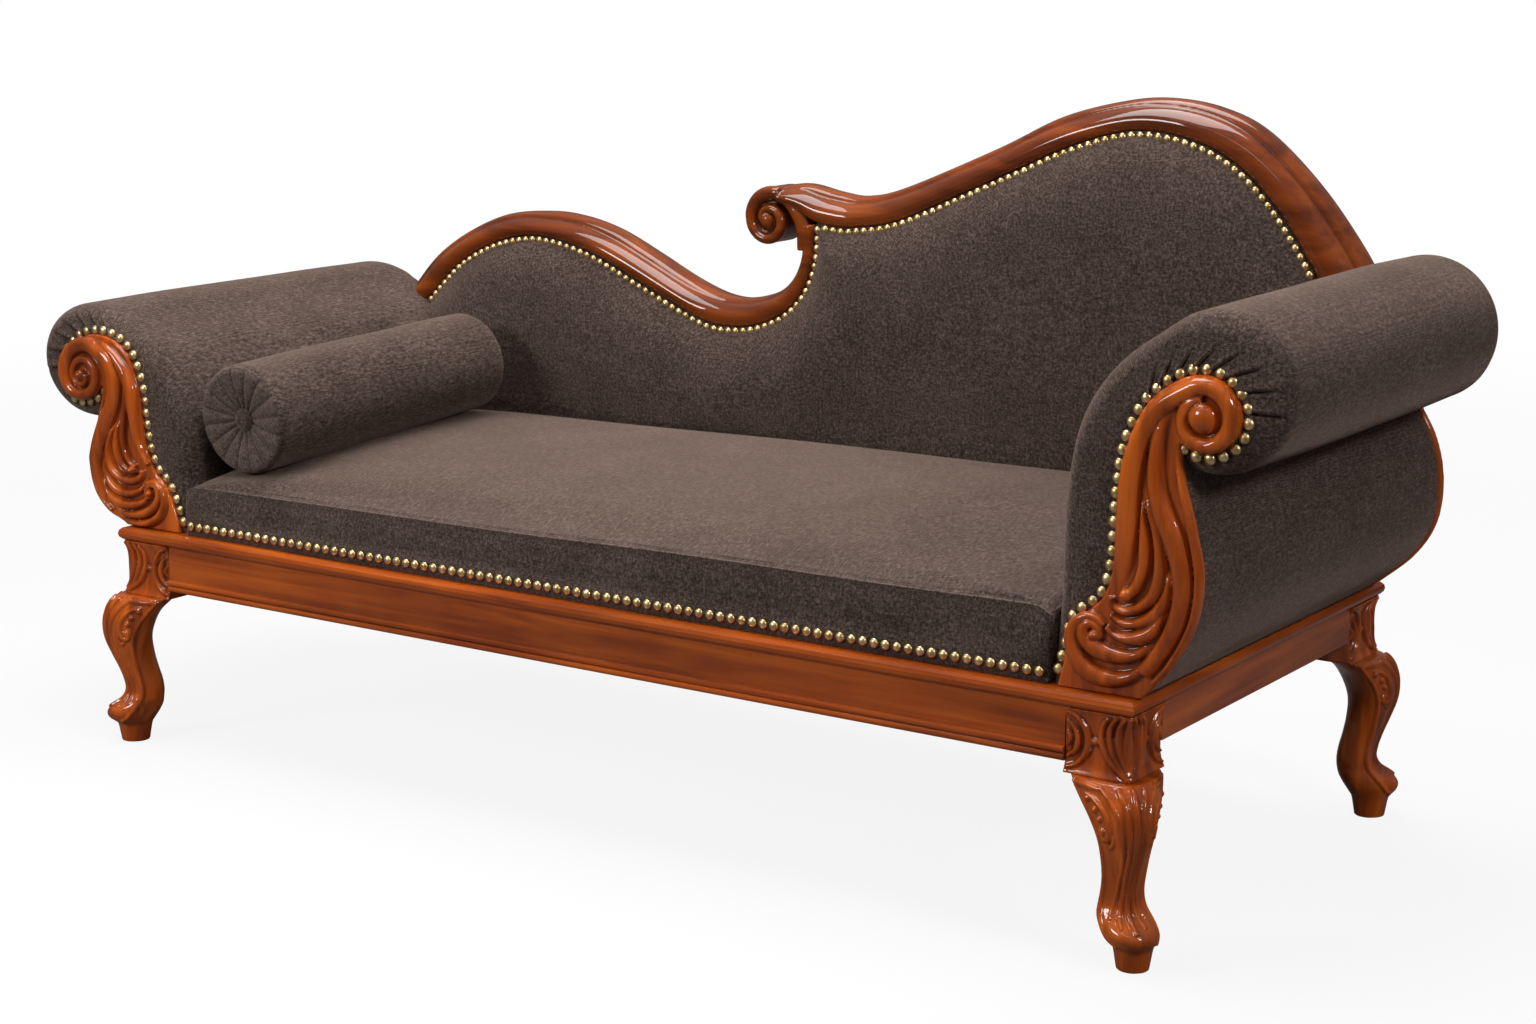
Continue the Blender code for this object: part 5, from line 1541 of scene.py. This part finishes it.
def makeBolster():
    settings = bolsterSettings
    ends = [sum(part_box(f"bolster_button_{end}"), Vector()) / 2 for end in ("front", "rear")]
    middle = (ends[0] + ends[1]) / 2 - Vector((seatMiddle, 0.0, 0.0))
    along = (ends[1] - ends[0]).normalized()
    turn = Vector((0, 1, 0)).rotation_difference(along)
    place = Matrix.Translation(middle) @ turn.to_matrix().to_4x4()
    half = settings["length"] / 2
    radius = settings["radius"]
    seat = settings["button"] * 0.55
    end = []
    corner = settings["corner"]
    edge = radius - corner
    for share in np.linspace(0.0, 1.0, 24):
        reach = seat + (edge - seat) * share
        sink = settings["dish"] * (1 - share) ** 1.7
        end.append((reach, half + settings["puff"] * ease(share / 0.7) - sink, ease(share / 0.25)))
    for turn in np.linspace(0, 90, 12)[1:]:
        angle = math.radians(turn)
        seam = settings["seam"] * math.exp(-((turn - 66) / 11) ** 2)
        reach = edge + (corner - seam) * math.sin(angle)
        back = half + settings["puff"] - corner + (corner - seam) * math.cos(angle)
        end.append((reach, back, ease((62 - turn) / 40)))
    for away in np.linspace(corner + 0.006, half, 36):
        end.append((radius + 0.0012 * ease(away / 0.12), half - away, 0.0))
    profile = [(reach, -y, -pleat) for reach, y, pleat in end]
    profile += [(reach, y, pleat) for reach, y, pleat in reversed(end[:-1])]
    pleatSides = settings["pleatSides"]
    sides = settings["pleats"] * pleatSides
    angles = np.arange(sides) / sides * math.tau
    phase = (np.arange(sides) % pleatSides) / pleatSides - 0.5
    rings = []
    for reach, y, pleat in profile:
        width = 0.0021 / max(reach, 0.01) / (math.tau / settings["pleats"])
        fold = -settings["pleatDepth"] * np.exp(-(phase / max(width, 0.05)) ** 2)
        fold = fold - 0.25 * settings["pleatDepth"] * np.cos(phase * math.tau)
        ring = np.stack([reach * np.cos(angles), y + pleat * fold, reach * np.sin(angles)], axis=1)
        scale = 1.0 - (settings["taper"] / radius) * (y / half + 1.0) / 2
        ring[:, ::2] *= scale
        ring[:, 2] -= radius * (1.0 - scale)
        if abs(y) < half - 0.02:
            outward = np.stack([np.cos(angles), angles * 0, np.sin(angles)], axis=1)
            uneven = ripple(ring, *settings["ripple"]) * ease((half - abs(y) - 0.02) / 0.05)
            ring += outward * uneven[:, None]
        rings.append(ring)
    points, faces = loft(rings)
    piece = addPiece("bolsterPad", [place @ Vector(point) for point in points], faces, fabric)
    # painted light over both end faces of the bolster
    paintedLight = np.repeat([0.5 * abs(pleat) for _, _, pleat in profile], sides)
    markHollows(piece, 0.0020, 6, paintedLight=paintedLight)
    finishPiece(piece, "bolster", ["bolster_pad"])
    for sign, name in ((-1, "front"), (1, "rear")):
        rings = []
        back = half - settings["dish"]
        drop = settings["taper"] * (sign + 1) / 2
        angle = np.arange(settings["buttonSides"]) / settings["buttonSides"] * math.tau
        for rise in np.linspace(0.0, 1.0, 12)[:-1]:
            reach = settings["button"] * (0.86 + 0.14 * math.sin(math.pi * min(rise * 2.4, 1.0)))
            reach *= math.sqrt(max(1 - rise ** 3.2, 0.0))
            tuck = 1 - 0.02 * np.cos(angle * 9) * (1 - rise)
            depth = np.full(len(angle), sign * (back + settings["thick"] * rise))
            rings.append(np.stack([reach * tuck * np.cos(angle), depth,
                                   reach * tuck * np.sin(angle) - drop], axis=1))
        points, faces = loft(rings)
        points = [place @ Vector(point) for point in points]
        button = addPiece(f"bolsterButton{name.capitalize()}", points, faces, fabric)
        finishPiece(button, "bolster", [f"bolster_button_{name}"])


# Black lining that sags a little below the seat
def makeDustCover():
    low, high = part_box("dust_cover")
    spots = np.array([vertex.co for vertex in nodes["dust_cover"].data.vertices])
    lines = []
    for axis, count in ((0, 90), (1, 40)):
        stops = np.unique(np.round(spots[:, axis], 4))
        parts = [np.linspace(stops[0], stops[1], 5)[:-1], np.linspace(stops[1], stops[2], count)[:-1]]
        lines.append((stops, np.concatenate(parts + [np.linspace(stops[2], stops[3], 5)])))
    (stopsX, xs), (stopsY, ys) = lines
    middle = (np.array(low) + np.array(high)) / 2
    half = (np.array(high) - np.array(low)) / 2
    points = []
    for x in xs:
        for y in ys:
            slack = (1 - ((x - middle[0]) / half[0]) ** 2) * (1 - ((y - middle[1]) / half[1]) ** 2)
            points.append((x - seatMiddle, y, middle[2] - 0.005 * slack))
    faces = []
    for column in range(len(xs) - 1):
        for row in range(len(ys) - 1):
            inX = stopsX[1] < xs[column] + 0.0001 and xs[column + 1] < stopsX[2] + 0.0001
            inY = stopsY[1] < ys[row] + 0.0001 and ys[row + 1] < stopsY[2] + 0.0001
            if inX or inY:
                start = column * len(ys) + row
                faces.append((start, start + len(ys), start + len(ys) + 1, start + 1))
    used = sorted({index for face in faces for index in face})
    order = {index: place for place, index in enumerate(used)}
    piece = addPiece("dustCover", [points[index] for index in used],
                     [tuple(order[index] for index in face) for face in faces], lining)
    wall = piece.modifiers.new("thickness", "SOLIDIFY")
    wall.thickness = 0.0010
    wall.offset = 0.0
    applied(piece)
    return finishPiece(piece, "sofa_frame", ["dust_cover"])


makeSeat()
makeBack("inside", "back_pad")
makeBack("outside", "back_outside_panel")
makeBolster()
makeDustCover()
print("seat, back, bolster and lining made")


# Brass nails: one small dome at each step along the rows, all facing the front
nailSettings = {
    "seat": {"radius": 0.00650, "spacing": 0.01640, "seed": 4},
    "arm": {"radius": 0.00710, "spacing": 0.01690, "seed": 6},
    "crest": {"radius": 0.00570, "spacing": 0.01345, "seed": 9},
    "seatHeight": 0.3408,
    "armOffset": 0.0060,
    "armFront": -0.3446,
    "crestOffset": 0.0062,
    "crestFront": 0.2788,
}


def makeNailTree():
    tree = bpy.data.node_groups.new("nailRows", "GeometryNodeTree")
    sockets = {}
    for name, kind in (("Rows", "Geometry"), ("Spacing", "Float"), ("Radius", "Float"), ("Seed", "Int"),
                       ("Finish", "Material")):
        socket = tree.interface.new_socket(name, in_out="INPUT", socket_type=f"NodeSocket{kind}")
        sockets[name] = socket.identifier
    tree.interface.new_socket("Nails", in_out="OUTPUT", socket_type="NodeSocketGeometry")

    def node(kind, values=None, **links):
        made = tree.nodes.new(kind)
        for key, value in (values or {}).items():
            if key in made.inputs:
                made.inputs[key].default_value = value
            else:
                setattr(made, key, value)
        for key, socket in links.items():
            tree.links.new(socket, made.inputs[key])
        return made

    source = node("NodeGroupInput").outputs
    curve = node("GeometryNodeMeshToCurve", Mesh=source["Rows"])
    steps = node("GeometryNodeResampleCurve", {"mode": "LENGTH"}, Curve=curve.outputs[0],
                 Length=source["Spacing"])
    dome = node("GeometryNodeMeshUVSphere", {"Segments": 10, "Rings": 6}, Radius=source["Radius"])
    flat = node("GeometryNodeTransform", {"Scale": (1.0, 0.66, 1.0)}, Geometry=dome.outputs["Mesh"])
    size = node("FunctionNodeRandomValue", {"data_type": "FLOAT"}, Seed=source["Seed"])
    size.inputs[2].default_value = 0.95
    size.inputs[3].default_value = 1.04
    tilt = node("FunctionNodeRandomValue", {"data_type": "FLOAT_VECTOR"}, Seed=source["Seed"])
    tilt.inputs[0].default_value = (-0.10, -0.4, -0.10)
    tilt.inputs[1].default_value = (0.10, 0.4, 0.10)
    put = node("GeometryNodeInstanceOnPoints", Points=steps.outputs[0], Instance=flat.outputs[0],
               Rotation=tilt.outputs[0], Scale=size.outputs[1])
    real = node("GeometryNodeRealizeInstances", Geometry=put.outputs[0])
    smooth = node("GeometryNodeSetShadeSmooth", Geometry=real.outputs[0])
    painted = node("GeometryNodeSetMaterial", Geometry=smooth.outputs[0], Material=source["Finish"])
    node("NodeGroupOutput", Nails=painted.outputs[0])
    return tree, sockets


def makeNails(name, rows, tree, sockets):
    settings = nailSettings[name]
    points = []
    edges = []
    for row in rows:
        start = len(points)
        points.extend(tuple(point) for point in row)
        edges.extend((index, index + 1) for index in range(start, len(points) - 1))
    mesh = bpy.data.meshes.new(f"{name}Nails")
    mesh.from_pydata(points, edges, [])
    piece = bpy.data.objects.new(f"{name}Nails", mesh)
    scene.collection.objects.link(piece)
    maker = piece.modifiers.new("nails", "NODES")
    maker.node_group = tree
    for key in ("Spacing", "Radius", "Seed"):
        maker[sockets[key]] = settings[key.lower()]
    maker[sockets["Finish"]] = brass
    applied(piece)
    return finishPiece(piece, "sofa_frame")


def seatRows():
    settings = nailSettings
    seatRow = []
    for x in np.linspace(-0.698, 0.698, 60):
        section = seatSection((x / seatSettings["end"] + 1) / 2)[:22]
        y = np.interp(settings["seatHeight"], section[:, 1], section[:, 0])
        seatRow.append((x, y, settings["seatHeight"]))
    return [np.array(seatRow)]


def armRows():
    settings = nailSettings
    rows = []
    for arm in armTables.values():
        line = shiftLine(armLine(arm, "inner"), -settings["armOffset"])
        line = line[line[:, 1] > mouldingTop + 0.014]
        rows.append(onFacing(arm, evenLine(line[:-3], 260), settings["armFront"]))
    return rows


def crestRows():
    settings = nailSettings
    line = nailLine()
    corner = int(np.argmin(np.abs(line - backSettings["corner"]).sum(axis=1)))
    drop = settings["crestOffset"]
    rows = []
    for part in (line[:corner], line[corner + 1:]):
        row = shiftLine(part, drop)
        for arm in armTables.values():
            around = np.vstack([shiftLine(stuffedLine(arm), -0.006), (endX + 0.2, standZ)])
            row = row[~insideLine(around, np.stack([arm["side"] * row[:, 0], row[:, 1]], axis=1))]
        rows.append(row)
    turn = np.array((line[corner, 0] + drop, line[corner, 1] - drop))
    rows[0] = np.vstack([rows[0][rows[0][:, 1] < turn[1]], turn])[::-1]
    step = settings["crest"]["spacing"]
    rows[1] = rows[1][rows[1][:, 0] > turn[0] + step]
    front = settings["crestFront"]
    return [np.stack([row[:, 0], np.full(len(row), front), row[:, 1]], axis=1) for row in rows]


nailTree, nailSockets = makeNailTree()
makeNails("seat", seatRows(), nailTree, nailSockets)
makeNails("arm", armRows(), nailTree, nailSockets)
makeNails("crest", crestRows(), nailTree, nailSockets)
print("nails set")
